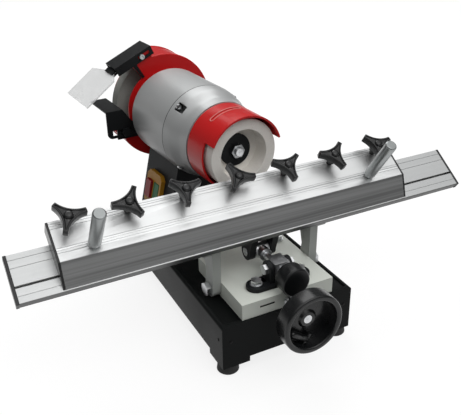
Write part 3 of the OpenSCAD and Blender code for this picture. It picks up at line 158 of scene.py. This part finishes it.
class Finish(Nodes):
    """One material on the Principled shader."""

    def __init__(self, name):
        self.material = bpy.data.materials.new(name)
        self.material.use_nodes = True
        super().__init__(self.material.node_tree)
        self.shader = next(n for n in self.tree.nodes if n.type == "BSDF_PRINCIPLED")
        self.place = self.node("ShaderNodeTexCoord", {}, {}, "Object")

    def set(self, **sockets):
        """Sets sockets of the shader: base_color=..., roughness=... and so on."""
        for key, value in sockets.items():
            self.feed(self.shader.inputs[key.replace("_", " ").title().replace("Ior", "IOR")], value)
        return self

    def noise(self, scale, detail, stretch=(1.0, 1.0, 1.0)):
        """Noise over the object, with its features drawn out where stretch is small."""
        at = self.node("ShaderNodeMapping", {}, {"Vector": self.place, "Scale": stretch})
        return self.node("ShaderNodeTexNoise", {}, {"Vector": at, "Scale": scale, "Detail": detail})

    def cells(self, scale):
        """Distance to the nearest point of a random scatter, for grit."""
        return self.node("ShaderNodeTexVoronoi", {}, {"Vector": self.place, "Scale": scale})

    def ramp(self, value, stops):
        return self.node("ShaderNodeValToRGB", {"stops": stops}, {"Fac": value})

    def mix(self, factor, one, other):
        """Colour between two colours."""
        inputs = {"Factor": factor, 6: rgba(one), 7: rgba(other)}
        return self.node("ShaderNodeMix", {"data_type": "RGBA"}, inputs, 2)

    def bump(self, height, strength, depth):
        inputs = {"Height": height, "Strength": strength, "Distance": depth}
        return self.set(normal=self.node("ShaderNodeBump", {}, inputs))


def rgba(colour):
    return colour if isinstance(colour, Value) else (*colour, 1.0)


def shade(colour, by):
    return tuple(min(1.0, c * by) for c in colour)


# Finishes


def powder_coat(name, colour, roughness, grain=0.25, sheen=0.12):
    """Sprayed paint: fine orange-peel skin, a little dust in broad patches."""
    f = Finish(name)
    patches = f.ramp(f.noise(14.0, 4.0), ((0.35, 0.0), (0.75, 1.0)))
    peel = f.noise(1100.0, 2.0)
    f.set(base_color=f.mix(patches * 0.35, colour, shade(colour, 1.35)))
    f.set(roughness=roughness + patches * 0.08 + (peel - 0.5) * 0.06)
    f.set(specular_ior_level=sheen)
    return f.bump(peel, grain, 0.2 * MM).material


def gloss_paint(name, colour):
    """Thick gloss paint on pressed sheet: slow waves and a clear coat."""
    f = Finish(name)
    waves = f.noise(160.0, 2.0)
    fade = f.ramp(f.noise(20.0, 4.0), ((0.3, 0.0), (0.8, 1.0)))
    f.set(base_color=f.mix(fade * 0.4, colour, shade(colour, 0.82)))
    f.set(roughness=0.28 + fade * 0.1, specular_ior_level=0.16, coat_weight=0.05, coat_roughness=0.1)
    return f.bump(waves, 0.12, 0.3 * MM).material


def seam_line_and_pocket_shade(f):
    """Darkening of the motor: 1 on a thin line along the seam between bell and drum and, as painted shade,
    deep in the screw pockets, else 0.
    """
    side = Vector((math.cos(HEAD_CANT), math.sin(HEAD_CANT), 0.0))
    axis = Vector((-side.y, side.x, 0.0))
    x, y, z = (f.dot(f.place, d) - Vector(HEAD_PLACE).dot(d) for d in (side, axis, Vector((0.0, 0.0, 1.0))))
    seam = 1.0 - (y - SEAM_Y).maths("ABSOLUTE").step(0.3 * MM, 0.9 * MM)
    shell = y.step(NOSE_Y, POCKET_BACK) * (SHELL_R - NOSE_R) + NOSE_R
    deep = (shell - (x * x + z * z) ** 0.5).step(0.6 * MM, 2.5 * MM)
    near = (z.maths("ARCTAN2", x) * 4.0 - POCKET_TURN * 4).maths("COSINE").step(0.9, 0.94)
    return (seam + near * deep * y.step(POCKET_FRONT, POCKET_FRONT + 2 * MM)).clipped()


def slot_shade(f):
    """Painted shade of the slide: 1 in the slot of its front face."""
    x, y, z = (f.dot(f.place, d) for d in ((1.0, 0.0, 0.0), (0.0, 1.0, 0.0), (0.0, 0.0, 1.0)))
    inside = 1.0 - (x - SLOT[0]).maths("ABSOLUTE").step(11 * MM, 12 * MM)
    inside *= 1.0 - (z - SLOT[2]).maths("ABSOLUTE").step(1.6 * MM, 2.2 * MM)
    return inside * (y - SLOT[1]).step(0.2 * MM, 0.8 * MM) * (1.0 - (y - SLOT[1]).step(5 * MM, 6 * MM))


def cast_silver(name, colour, sheen=0.1, painted_shade=None, seam_line_and_shade=None):
    """Aluminium-flake paint on a casting: soft sheen, sandy skin, faint smears.

    Given a pair of heights, the underside is painted darker and less metallic below them as painted shade,
    fading out between them; given a mask, the colour is darkened by its share.
    """
    f = Finish(name)
    sand = f.noise(800.0, 3.0)
    smear = f.ramp(f.noise(18.0, 5.0, (1.0, 0.4, 1.0)), ((0.3, 0.0), (0.8, 1.0)))
    flake = f.cells(2600.0)
    tone = f.mix(smear * 0.4 + flake * 0.15, colour, shade(colour, 0.86))
    metal = sheen
    # Painted shade: darker and less metallic towards the underside
    if painted_shade:
        unshaded = (f.dot(f.place, (0.0, 0.0, 1.0)) + smear * 4 * MM).step(*painted_shade)
        tone = f.mix(unshaded, shade(colour, 0.3), tone)
        metal = unshaded * sheen
    # Colour darkened by a mask: painted shade in recesses such as the slot and the screw pockets, and a
    # darkened line along the motor's seam
    if seam_line_and_shade:
        tone = f.mix(seam_line_and_shade(f), tone, shade(colour, 0.06))
    f.set(base_color=tone, metallic=metal, roughness=0.32 + smear * 0.1, specular_ior_level=0.2)
    return f.bump(sand, 0.18, 0.15 * MM).material


def extruded(name, colour, face=None):
    """Drawn aluminium: hairlines along X, cloudy roughness, handling marks.

    face is the plane of a face painted dark as painted shade: its normal, its height along that normal, the
    depth of the painted shade and its share of the colour.
    """
    f = Finish(name)
    hairs = f.noise(1.0, 3.0, (5.0, 1700.0, 1700.0))
    bands = f.noise(1.0, 3.0, (1.2, 190.0, 190.0))
    clouds = f.noise(26.0, 5.0)
    marks = f.ramp(f.noise(95.0, 2.0), ((0.62, 0.0), (0.8, 1.0)))
    tone = f.mix(bands * 0.55 + marks * 0.2, colour, shade(colour, 0.82))
    streaks = f.ramp(bands, ((0.36, 0.0), (0.62, 1.0)))
    # Painted shade: the face is darkened, with faint streaks kept
    if face:
        painted_shade = (f.dot(f.place, face[0]) - face[1]).step(-face[2], -0.4 * face[2])
        tone = f.mix(painted_shade, tone, f.mix(streaks, shade(colour, face[3]), shade(colour, 1.9 * face[3])))
    f.set(base_color=tone, metallic=0.92, roughness=0.27 + hairs * 0.12 + clouds * 0.14)
    return f.bump(hairs, 0.1, 0.1 * MM).material


def plated(name, colour, roughness=0.26, wear=1.0):
    """Zinc-plated or ground steel: bright, with fine scratches and small darker, rougher spots."""
    f = Finish(name)
    scratch = f.noise(900.0, 2.0, (1.0, 1.0, 0.15))
    spots = f.ramp(f.noise(240.0, 4.0), ((0.5, 0.0), (0.75, 1.0)))
    f.set(base_color=f.mix(spots * (0.6 * wear), colour, shade(colour, 0.72)))
    f.set(metallic=1.0, roughness=roughness + (spots * 0.16 + scratch * 0.08) * wear)
    return f.bump(scratch, 0.1 * wear, 0.06 * MM).material


def moulded(name, colour, roughness=0.42, sheen=0.62):
    """Filled plastic: fine spark-eroded grain, rubbed smoother in patches."""
    f = Finish(name)
    grain = f.noise(1500.0, 2.0)
    rubbed = f.ramp(f.noise(40.0, 4.0), ((0.4, 0.0), (0.7, 1.0)))
    f.set(base_color=f.mix(rubbed * 0.5, colour, shade(colour, 1.8)))
    f.set(roughness=roughness - rubbed * 0.12, specular_ior_level=sheen)
    return f.bump(grain, 0.2, 0.12 * MM).material


def glossy_plastic(name, colour):
    """Clear-toned push-button plastic with soft wear."""
    f = Finish(name)
    wear = f.noise(120.0, 4.0)
    f.set(base_color=f.mix(wear * 0.5, colour, shade(colour, 0.75)))
    f.set(roughness=0.3 + wear * 0.16, specular_ior_level=0.2)
    return f.bump(f.noise(700.0, 2.0), 0.08, 0.1 * MM).material


def abrasive(name, colour, dark):
    """Bonded grit: grains of two tones with open pores between them."""
    f = Finish(name)
    grains = f.cells(750.0)
    pores = f.ramp(f.noise(900.0, 3.0), ((0.58, 0.0), (0.72, 1.0)))
    tone = f.noise(60.0, 4.0)
    f.set(base_color=f.mix(pores * 0.5 + tone * 0.14, colour, dark), roughness=0.9 - grains * 0.1)
    return f.bump(grains - pores * 0.7, 0.45, 0.35 * MM).material


def rubber(name, colour):
    """Black rubber with dust in its skin."""
    f = Finish(name)
    dust = f.ramp(f.noise(180.0, 5.0), ((0.45, 0.0), (0.8, 1.0)))
    f.set(base_color=f.mix(dust * 0.5, colour, shade(colour, 2.4)), roughness=0.72 + dust * 0.14)
    return f.bump(f.noise(1300.0, 2.0), 0.3, 0.15 * MM).material


def clear_sheet(name):
    """Clear plastic sheet, milky from fine scratches."""
    f = Finish(name)
    haze = f.noise(70.0, 5.0, (1.0, 0.25, 1.0))
    f.set(base_color=f.mix(haze * 0.4, (0.95, 0.96, 0.96), (0.86, 0.88, 0.88)))
    f.set(roughness=0.2 + haze * 0.2, alpha=0.5 + haze * 0.14)
    f.material.surface_render_method = "BLENDED"
    return f.bump(haze, 0.05, 0.1 * MM).material


def winding(name, colour):
    """Enamelled wire: fine turns round the axis."""
    f = Finish(name)
    turns = f.noise(1.0, 2.0, (250.0, 1400.0, 250.0))
    f.set(base_color=f.mix(turns, colour, shade(colour, 0.5)), metallic=0.6, roughness=0.34 + turns * 0.1)
    return f.bump(turns, 0.4, 0.3 * MM).material


BLACK = (0.013, 0.014, 0.015)
RED = (0.6, 0.014, 0.015)
FINISHES = {
    "base_paint": powder_coat("base_paint", (0.010, 0.011, 0.011), 0.34, 0.25, 0.05),
    "foot_rubber": rubber("foot_rubber", (0.012, 0.012, 0.012)),
    "zinc": plated("zinc", (0.66, 0.67, 0.68)),
    "way_iron": plated("way_iron", (0.36, 0.37, 0.38), 0.4),
    "bronze": plated("bronze", (0.6, 0.42, 0.2), 0.3),
    "pedestal_paint": powder_coat("pedestal_paint", (0.016, 0.017, 0.018), 0.42, 0.35, 0.08),
    "amber_plastic": glossy_plastic("amber_plastic", (0.4, 0.19, 0.015)),
    # Motor paint: painted shade on the underside and deep in the screw pockets, and a darkened seam line
    "silver_paint": cast_silver("silver_paint", (0.52, 0.53, 0.53), 0.35, (0.2, 0.3), seam_line_and_pocket_shade),
    "core_steel": plated("core_steel", (0.3, 0.31, 0.32), 0.5),
    "copper": winding("copper", (0.55, 0.2, 0.06)),
    "case_blue": moulded("case_blue", (0.06, 0.1, 0.15)),
    "red_paint": gloss_paint("red_paint", RED),
    "black_steel": powder_coat("black_steel", BLACK, 0.38),
    "green_plastic": glossy_plastic("green_plastic", (0.015, 0.13, 0.045)),
    "red_plastic": glossy_plastic("red_plastic", (0.24, 0.015, 0.018)),
    "clear_sheet": clear_sheet("clear_sheet"),
    "shaft_steel": plated("shaft_steel", (0.62, 0.63, 0.64), 0.22),
    "white_abrasive": abrasive("white_abrasive", (0.93, 0.9, 0.85), (0.66, 0.62, 0.56)),
    "grey_abrasive": abrasive("grey_abrasive", (0.42, 0.43, 0.4), (0.2, 0.2, 0.19)),
    # Slide paint with painted shade in the slot of its front face
    "slide_grey": cast_silver("slide_grey", (0.72, 0.75, 0.69), 0.02, None, slot_shade),
    "black_plastic": moulded("black_plastic", (0.008, 0.0085, 0.009), 0.33, 0.5),
    "bare_aluminium": extruded("bare_aluminium", (0.74, 0.75, 0.75)),
    "arm_grey": cast_silver("arm_grey", (0.42, 0.44, 0.42), 0.04),
}

SLOT_OF = {part["node"]: part["material_slot"] for part in frame["record"]["subparts"]}


def slope_plane(s, t, s_part, t_part, *skin):
    """Plane through a place on the rail's section, followed by the depth and share of the painted shade on
    it.

    s and t are the place up the slope and out of it, s_part and t_part the normal's parts that way.
    """
    c, d = math.cos(RAIL_TILT), math.sin(RAIL_TILT)
    normal = np.array((0.0, s_part * c - t_part * d, s_part * d + t_part * c))
    place = RAIL_EDGE + np.array((0.0, s * c - t * d, s * d + t * c)) * MM
    return tuple(normal), float(normal @ place), *skin


# Faces painted dark as painted shade: the holder's slanted front and the rail's front edge
HOLDER_FRONT_SHADE = slope_plane(2.1, 0.65, -0.632, 0.775, 0.5 * MM, 0.22)
RAIL_FRONT_SHADE = slope_plane(0.0, 0.0, -1.0, 0.0, 1.0 * MM, 0.1)

# Finishes of single solids
NODE_FINISHES = {
    "handwheel": moulded("wheel_plastic", (0.007, 0.0075, 0.008), 0.3, 0.4),
    "fold_handle": moulded("handle_plastic", (0.006, 0.0065, 0.007), 0.3, 0.4),
    "angle_knob": moulded("adjuster_plastic", (0.005, 0.0055, 0.006), 0.34, 0.3),
    "push_pins": plated("pin_steel", (0.32, 0.335, 0.335), 0.3, 0.25),
    "spindle_nuts": plated("nut_steel", (0.4, 0.41, 0.42), 0.24),
    "knife_holder": extruded("holder_aluminium", (0.74, 0.75, 0.75), HOLDER_FRONT_SHADE),
    "lower_rail": extruded("rail_aluminium", (0.56, 0.57, 0.57), RAIL_FRONT_SHADE),
}


def dress(obj, slot, node=None):
    """Gives an object the one finish of its solid or of a record slot."""
    obj.data.materials.clear()
    obj.data.materials.append(NODE_FINISHES.get(node, FINISHES[slot]))


for node_name, node_object in frame["nodes"].items():
    dress(node_object, SLOT_OF[node_name], node_name)


# Shaped pieces, with edges rounded and shaded sharp past one angle
EDGE_ANGLE = math.radians(35.0)
EDGE_SEGMENTS = 2


def rail_point(x, s, t):
    """Points at x along the rail, s up its slope and t out of its face, in the object's frame."""
    x, s, t = np.broadcast_arrays(x, s, t)
    c, d = math.cos(RAIL_TILT), math.sin(RAIL_TILT)
    return np.stack((x, RAIL_EDGE[1] + s * c - t * d, RAIL_EDGE[2] + s * d + t * c), -1)


def head_point(x, y, z):
    """Points x across, y back and z up from the middle of the cup wheel's face, in the object's frame."""
    x, y, z = np.broadcast_arrays(x, y, z)
    c, d = math.cos(HEAD_CANT), math.sin(HEAD_CANT)
    return np.stack((x * c - y * d, x * d + y * c, z), -1) + HEAD_PLACE


def grid_piece(name, points, slot, body, loop=False):
    """Mesh over a grid of points, rows by columns.

    Columns close round. Rows loop, or the first and last row close to their middles.
    """
    rows, columns = points.shape[:2]
    verts = points.reshape(-1, 3)
    row, column = np.meshgrid(np.arange(rows if loop else rows - 1), np.arange(columns), indexing="ij")
    across, along = (column + 1) % columns, (row + 1) % rows
    faces = np.stack((row * columns + column, row * columns + across, along * columns + across,
                      along * columns + column), -1).reshape(-1, 4).tolist()
    if not loop:
        verts = np.vstack((verts, points[0].mean(0), points[-1].mean(0)))
        first, last = len(verts) - 2, len(verts) - 1
        ring = np.arange(columns)
        turn = (ring + 1) % columns
        base = (rows - 1) * columns
        faces += np.stack((turn, ring, np.full(columns, first)), -1).tolist()
        faces += np.stack((base + ring, base + turn, np.full(columns, last)), -1).tolist()
    mesh = bpy.data.meshes.new(name)
    mesh.from_pydata(verts.tolist(), [], faces)
    return finish_piece(name, mesh, slot, body)


def finish_piece(name, mesh, slot, body):
    """Points the faces outwards, shades smooth between sharp edges, and sets the piece's slot and body."""
    shell = bmesh.new()
    shell.from_mesh(mesh)
    bmesh.ops.recalc_face_normals(shell, faces=shell.faces)
    shell.to_mesh(mesh)
    shell.free()
    mesh.shade_smooth()
    mesh.set_sharp_from_angle(angle=EDGE_ANGLE)
    piece = bpy.data.objects.new(name, mesh)
    bpy.context.collection.objects.link(piece)
    dress(piece, slot)
    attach(piece, body)
    return piece


BODY_OF = {n: body for body, nodes in frame["record"]["behaviour"]["bodies"].items() for n in nodes}


def eased(node, radius):
    """A copy of a solid with rounded edges: merged, flat triangles joined, sharp edges bevelled."""
    copy = bmesh.new()
    copy.from_mesh(frame["nodes"][node].data)
    bmesh.ops.remove_doubles(copy, verts=copy.verts, dist=0.002 * MM)
    bmesh.ops.dissolve_limit(copy, angle_limit=math.radians(0.6), verts=copy.verts, edges=copy.edges)
    mesh = bpy.data.meshes.new(node + "_eased")
    copy.to_mesh(mesh)
    copy.free()
    piece = finish_piece(node + "_eased", mesh, SLOT_OF[node], BODY_OF[node])
    dress(piece, SLOT_OF[node], node)
    bevel = piece.modifiers.new("edges", "BEVEL")
    bevel.width = radius
    bevel.segments = EDGE_SEGMENTS
    bevel.limit_method = "ANGLE"
    bevel.angle_limit = EDGE_ANGLE
    bevel.harden_normals = True
    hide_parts(node)


# Clamp knobs: three arms with hollow sides, a ridge round the top and a round cap
KNOB_COUNT = 7
KNOB_ARM = 22.5 * MM
KNOB_WAIST = 9 * MM
KNOB_TIP = 6.6 * MM
KNOB_EASE = 0.45 * MM
KNOB_STEPS = 288
KNOB_S = 73 * MM
KNOB_PITCH = 74.3 * MM
KNOB_MIDDLE = -26.5 * MM
HOLDER_TOP = 21.55 * MM
KNOB_UNDER = HOLDER_TOP + 12.5 * MM
STUD_END = 9.35 * MM - KNOB_UNDER
KNOB_TURNS = np.radians((5, 57, 17, 108, 32, 43, 10))
# Rows from the cap to the stud's end, in mm: share of the star, its inset, radius of the round part, height
KNOB_ROWS = (
    (0.0, 0.0, 0.3, 13.9), (0.0, 0.0, 2.2, 13.8), (0.0, 0.0, 3.9, 13.3), (0.0, 0.0, 5.0, 12.5),
    (0.0, 0.0, 5.4, 11.6), (0.0, 0.0, 5.6, 10.6), (0.2, 3.4, 5.7, 10.2), (0.7, 3.3, 5.7, 10.1),
    (1.0, 3.2, 5.7, 10.2), (1.0, 2.7, 5.7, 10.6), (1.0, 2.2, 5.7, 11.5), (1.0, 1.8, 5.7, 11.9),
    (1.0, 1.2, 5.7, 12.0), (1.0, 0.6, 5.7, 11.8), (1.0, 0.2, 5.7, 11.3), (1.0, 0.0, 5.7, 10.5),
    (1.0, 0.0, 5.7, 1.6), (1.0, 0.2, 5.7, 0.8), (1.0, 0.6, 5.7, 0.3), (1.0, 1.2, 5.7, 0.0),
    (0.7, 1.6, 6.8, 0.0), (0.2, 1.6, 7.4, -0.1), (0.0, 0.0, 7.3, -0.5), (0.0, 0.0, 7.0, -1.2),
    (0.0, 0.0, 7.0, -5.6), (0.0, 0.0, 6.5, -6.2), (0.0, 0.0, 4.0, -6.25),
)


def star_radius(angle, inset):
    """Radius of the knob's outline moved inwards: hollow arcs between three tips, eased into a circle."""
    tip = math.asin(KNOB_TIP / 2 / KNOB_ARM)
    out = KNOB_ARM * math.cos(math.pi / 3 - tip) - KNOB_WAIST
    side = KNOB_ARM * math.sin(math.pi / 3 - tip)
    hollow = (out * out + side * side) / (2 * out)
    middle = KNOB_WAIST + hollow
    off = np.mod(angle, 2 * math.pi / 3) - math.pi / 3
    inside = (hollow + inset) ** 2 - (middle * np.sin(off)) ** 2
    arc = np.where(inside > 0, middle * np.cos(off) - np.sqrt(np.maximum(inside, 0)), 2 * KNOB_ARM)
    return -KNOB_EASE * np.logaddexp(-arc / KNOB_EASE, (inset - KNOB_ARM) / KNOB_EASE)


def make_knob(index):
    """Rows of the star's outline, set in and lifted row by row, turned to the knob's rest angle."""
    angle = np.linspace(0, 2 * math.pi, KNOB_STEPS, endpoint=False)
    rows = np.array(KNOB_ROWS + ((0.0, 0.0, 4.0, STUD_END / MM),))
    share, inset, plain, height = (rows[:, k:k + 1] for k in range(4))
    radius = share * star_radius(angle, inset * MM) + (1 - share) * plain * MM
    along = angle + KNOB_TURNS[index]
    x = KNOB_MIDDLE + (index - (KNOB_COUNT - 1) / 2) * KNOB_PITCH + radius * np.cos(along)
    points = rail_point(x, KNOB_S + radius * np.sin(along), KNOB_UNDER + height * MM)
    node = "clamp_knob_%d" % (index + 1)
    piece = grid_piece(node + "_moulded", points, "black_plastic", BODY_OF[node])
    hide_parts(node)


for knob in range(KNOB_COUNT):
    make_knob(knob)

# Pressed bead round the groove of the hood
HOOD_R = 56.5 * MM
BEAD_Y = 30 * MM
BEAD_HALF = 3.6 * MM
BEAD_ANGLES = np.radians((80, 122))
BEAD_R = 0.75 * MM
RUN_STEPS, BEND_STEPS, RING_STEPS = 40, 14, 10


def tube(path, out, steps, radius):
    """Rings of a tube round a closed path, each a circle in the path's outward and sideways directions."""
    ahead = np.roll(path, -1, 0) - np.roll(path, 1, 0)
    ahead /= np.linalg.norm(ahead, axis=1, keepdims=True)
    side = np.cross(ahead, out)
    turn = np.linspace(0, 2 * math.pi, steps, endpoint=False)[:, None]
    ring = np.cos(turn)[None] * out[:, None] + np.sin(turn)[None] * side[:, None]
    return path[:, None] + radius * ring


def make_bead():
    """A tube along an oblong: two straight runs round the hood's cylinder and two half circles."""
    run = np.linspace(0, 1, RUN_STEPS, endpoint=False)
    bend = np.linspace(0, math.pi, BEND_STEPS, endpoint=False)
    low, high = BEAD_ANGLES
    angle = np.concatenate((low + run * (high - low), high + np.sin(bend) * BEAD_HALF / HOOD_R,
                            high + run * (low - high), low - np.sin(bend) * BEAD_HALF / HOOD_R))
    straight = np.ones(RUN_STEPS)
    y = BEAD_Y + BEAD_HALF * np.concatenate((straight, np.cos(bend), -straight, -np.cos(bend)))
    path = head_point(HOOD_R * np.cos(angle), y, HOOD_R * np.sin(angle))
    out = path - head_point(np.zeros_like(y), y, np.zeros_like(y))
    out /= np.linalg.norm(out, axis=1, keepdims=True)
    bead = grid_piece("hood_bead", tube(path, out, RING_STEPS, BEAD_R), "red_paint", "frame", loop=True)
    # The bead is painted a lighter red than the hood: a painted highlight along its rounded edges
    bead.data.materials[0] = gloss_paint("bead_painted_highlight", (0.72, 0.24, 0.22))


make_bead()

# Rolled edges of the guard and its cover: place along the motor, distance in from the rim, radius of the roll
GUARD_R = 83 * MM
GUARD_ANGLES = np.radians((-147.5, 119))
ROLLS = {"guard_roll": (244.3 * MM, 1.2 * MM, 2.2 * MM), "cover_roll": (303 * MM, 0.6 * MM, 1.8 * MM)}


def make_rolls():
    """Parts of a torus: a small circle carried round the motor's axis between two angles."""
    arc = np.linspace(*GUARD_ANGLES, 180)[:, None]
    turn = np.linspace(0, 2 * math.pi, 16, endpoint=False)
    for name, (y, inset, size) in ROLLS.items():
        radius = GUARD_R - inset + size * np.cos(turn)
        points = head_point(radius * np.cos(arc), y + size * np.sin(turn), radius * np.sin(arc))
        grid_piece(name, points, "red_paint", "frame")


make_rolls()

# Rubber plugs in the base's small holes, and the grommet of the cord's hole
BASE_HALF = np.array((98.8, 190.0)) * MM
PLUG_IN = 12 * MM
PLUG_Z = 54.4 * MM
PLUG_R = 2.5 * MM
PLUG_DOME = 0.8 * MM
PLUG_DEPTH = 1.2 * MM
INLET = np.array((55.0, 190.0, 38.0)) * MM
INLET_R = 6.5 * MM
GROMMET_R = 2.2 * MM


def turned(profile, steps):
    """Rings of a turned shape about +Y: each row of the profile is a radius and a height."""
    turn = np.linspace(0, 2 * math.pi, steps, endpoint=False)
    radius, height = profile[:, :1], profile[:, 1:]
    return np.stack((radius * np.cos(turn), height + 0 * turn, radius * np.sin(turn)), -1)


def make_plugs():
    """Domed discs set in the eight holes: a quarter of an ellipse turned about each hole's axis."""
    bend = np.linspace(0, math.pi / 2, 8)
    profile = np.stack((PLUG_R * np.maximum(np.sin(bend), 0.05), PLUG_DOME * np.cos(bend)), -1)
    cap = turned(np.vstack((profile, (PLUG_R, -PLUG_DEPTH))), 24)
    across, along = BASE_HALF
    # Plugs painted near-black, darker than their rubber, as painted shade of the holes
    skin = moulded("plug_painted_shade", (0.002, 0.002, 0.002), 0.5, 0.1)
    for index, (sx, sy) in enumerate(((-1, -1), (1, -1), (-1, 1), (1, 1))):
        ends = cap * (1, sy, 1) + (sx * (across - PLUG_IN), sy * along, PLUG_Z)
        sides = cap[..., (1, 0, 2)] * (sx, 1, 1) + (sx * across, sy * (along - PLUG_IN), PLUG_Z)
        for name, points in (("end_plug_%d", ends), ("side_plug_%d", sides)):
            grid_piece(name % index, points, "foot_rubber", "frame").data.materials[0] = skin


def make_grommet():
    """A ring of round section in the cord's hole."""
    turn = np.linspace(0, 2 * math.pi, 60, endpoint=False)
    out = np.stack((np.cos(turn), 0 * turn, np.sin(turn)), -1)
    ring = tube(INLET + INLET_R * out, out, 16, GROMMET_R)
    grid_piece("cord_grommet", ring, "foot_rubber", "frame", loop=True)


make_plugs()
make_grommet()

# Radius of the rounded edges, and the solids that have it
EASED = {
    0.8 * MM: (
        "base_shell", "cross_slide", "slide_strip", "pedestal", "tilt_arms",
    ),
    0.5 * MM: (
        "knife_holder", "lower_rail", "rail_caps", "holder_caps", "swivel_bracket", "rail_clevis",
        "swivel_block", "trunnion_block", "switch_frame", "shield_bracket", "tool_rest", "rest_bracket",
    ),
    0.6 * MM: (
        "handwheel", "fold_handle", "angle_knob", "push_pins", "start_button", "stop_button",
        "cup_wheel", "rear_wheel", "wheel_flanges", "motor_bell", "motor_drum", "cup_hood",
        "rear_guard", "guard_cover",
    ),
    0.3 * MM: (
        "base_screws", "head_screws", "spindle_nuts", "slide_bolts", "pivot_bolts", "arm_screws",
        "rest_bolt", "feed_screw", "adjust_rod", "motor_shaft", "eye_shield", "shield_clip",
        "rubber_feet", "trunnion_pin",
    ),
}
for edge_radius, node_names in EASED.items():
    for node_name in node_names:
        eased(node_name, edge_radius)


# Stage: floor, light and camera, in metres
FLOOR_HALF = 6.0
FLOOR_GLOW = 0.83
SKY_MIDDLE = (0.05, -0.2, 0.98)
SKY_TOP = 1.05
SKY_LOW = 0.14
LAMP_AIM = (0.0, 0.0, 0.18)
# Place, side and watts of each lamp
LAMPS = {"back_light": ((0.5, 1.5, 2.2), 1.6, 22.0), "front_light": ((0.4, -1.5, 2.3), 1.4, 10.0)}


def make_floor():
    """A pale square that looks white to the camera and throws little light back."""
    mesh = bpy.data.meshes.new("floor")
    corners = [(x * FLOOR_HALF, y * FLOOR_HALF, 0.0) for x, y in ((-1, -1), (1, -1), (1, 1), (-1, 1))]
    mesh.from_pydata(corners, [], [(0, 1, 2, 3)])
    floor = bpy.data.objects.new("floor", mesh)
    bpy.context.collection.objects.link(floor)
    f = Finish("floor_paper")
    f.set(base_color=(0.2, 0.2, 0.2, 1.0), roughness=0.95, specular_ior_level=0.0)
    f.set(emission_color=(1.0, 1.0, 1.0, 1.0), emission_strength=f.seen() * FLOOR_GLOW)
    floor.data.materials.append(f.material)


def area_light(name, place, side, watts):
    """A square lamp that faces the object's middle."""
    data = bpy.data.lights.new(name, "AREA")
    data.shape = "RECTANGLE"
    data.size, data.size_y = side, side
    data.energy = watts
    lamp = bpy.data.objects.new(name, data)
    bpy.context.collection.objects.link(lamp)
    lamp.location = place
    lamp.rotation_euler = (Vector(LAMP_AIM) - Vector(place)).to_track_quat("-Z", "Y").to_euler()


def make_light():
    """A sky that is bright overhead and dim at the horizon, with high soft lamps behind and in front."""
    world = bpy.data.worlds.new("studio")
    bpy.context.scene.world = world
    world.use_nodes = True
    sky = Nodes(world.node_tree)
    ahead = sky.node("ShaderNodeTexCoord", {}, {}, "Generated")
    glow = sky.dot(ahead, SKY_MIDDLE).step(0.45, 0.92) * SKY_TOP + SKY_LOW
    sky.feed(world.node_tree.nodes["Background"].inputs["Color"], glow)
    for name, (place, side, watts) in LAMPS.items():
        area_light(name, place, side, watts)


def make_camera():
    """The camera at the photograph's place: yaw and pitch aim it, roll turns it about its axis."""
    data = bpy.data.cameras.new("photo_camera")
    data.sensor_fit = "HORIZONTAL"
    data.sensor_width = SENSOR_MM
    data.lens = FOCAL_PIXELS * SENSOR_MM / PHOTO_WIDTH
    data.clip_start = 0.02
    camera = bpy.data.objects.new("photo_camera", data)
    bpy.context.collection.objects.link(camera)
    level = math.cos(CAMERA_PITCH)
    ahead = Vector((math.sin(CAMERA_YAW) * level, math.cos(CAMERA_YAW) * level, -math.sin(CAMERA_PITCH)))
    right = Vector((math.cos(CAMERA_YAW), -math.sin(CAMERA_YAW), 0.0))
    down = ahead.cross(right)
    across = right * math.cos(CAMERA_ROLL) + down * math.sin(CAMERA_ROLL)
    up = right * math.sin(CAMERA_ROLL) - down * math.cos(CAMERA_ROLL)
    turn = Matrix((across, up, -ahead)).transposed().to_4x4()
    camera.matrix_world = Matrix.Translation(CAMERA_PLACE) @ turn
    bpy.context.scene.camera = camera


make_floor()
make_light()
make_camera()
bpy.context.scene.view_settings.view_transform = "Standard"
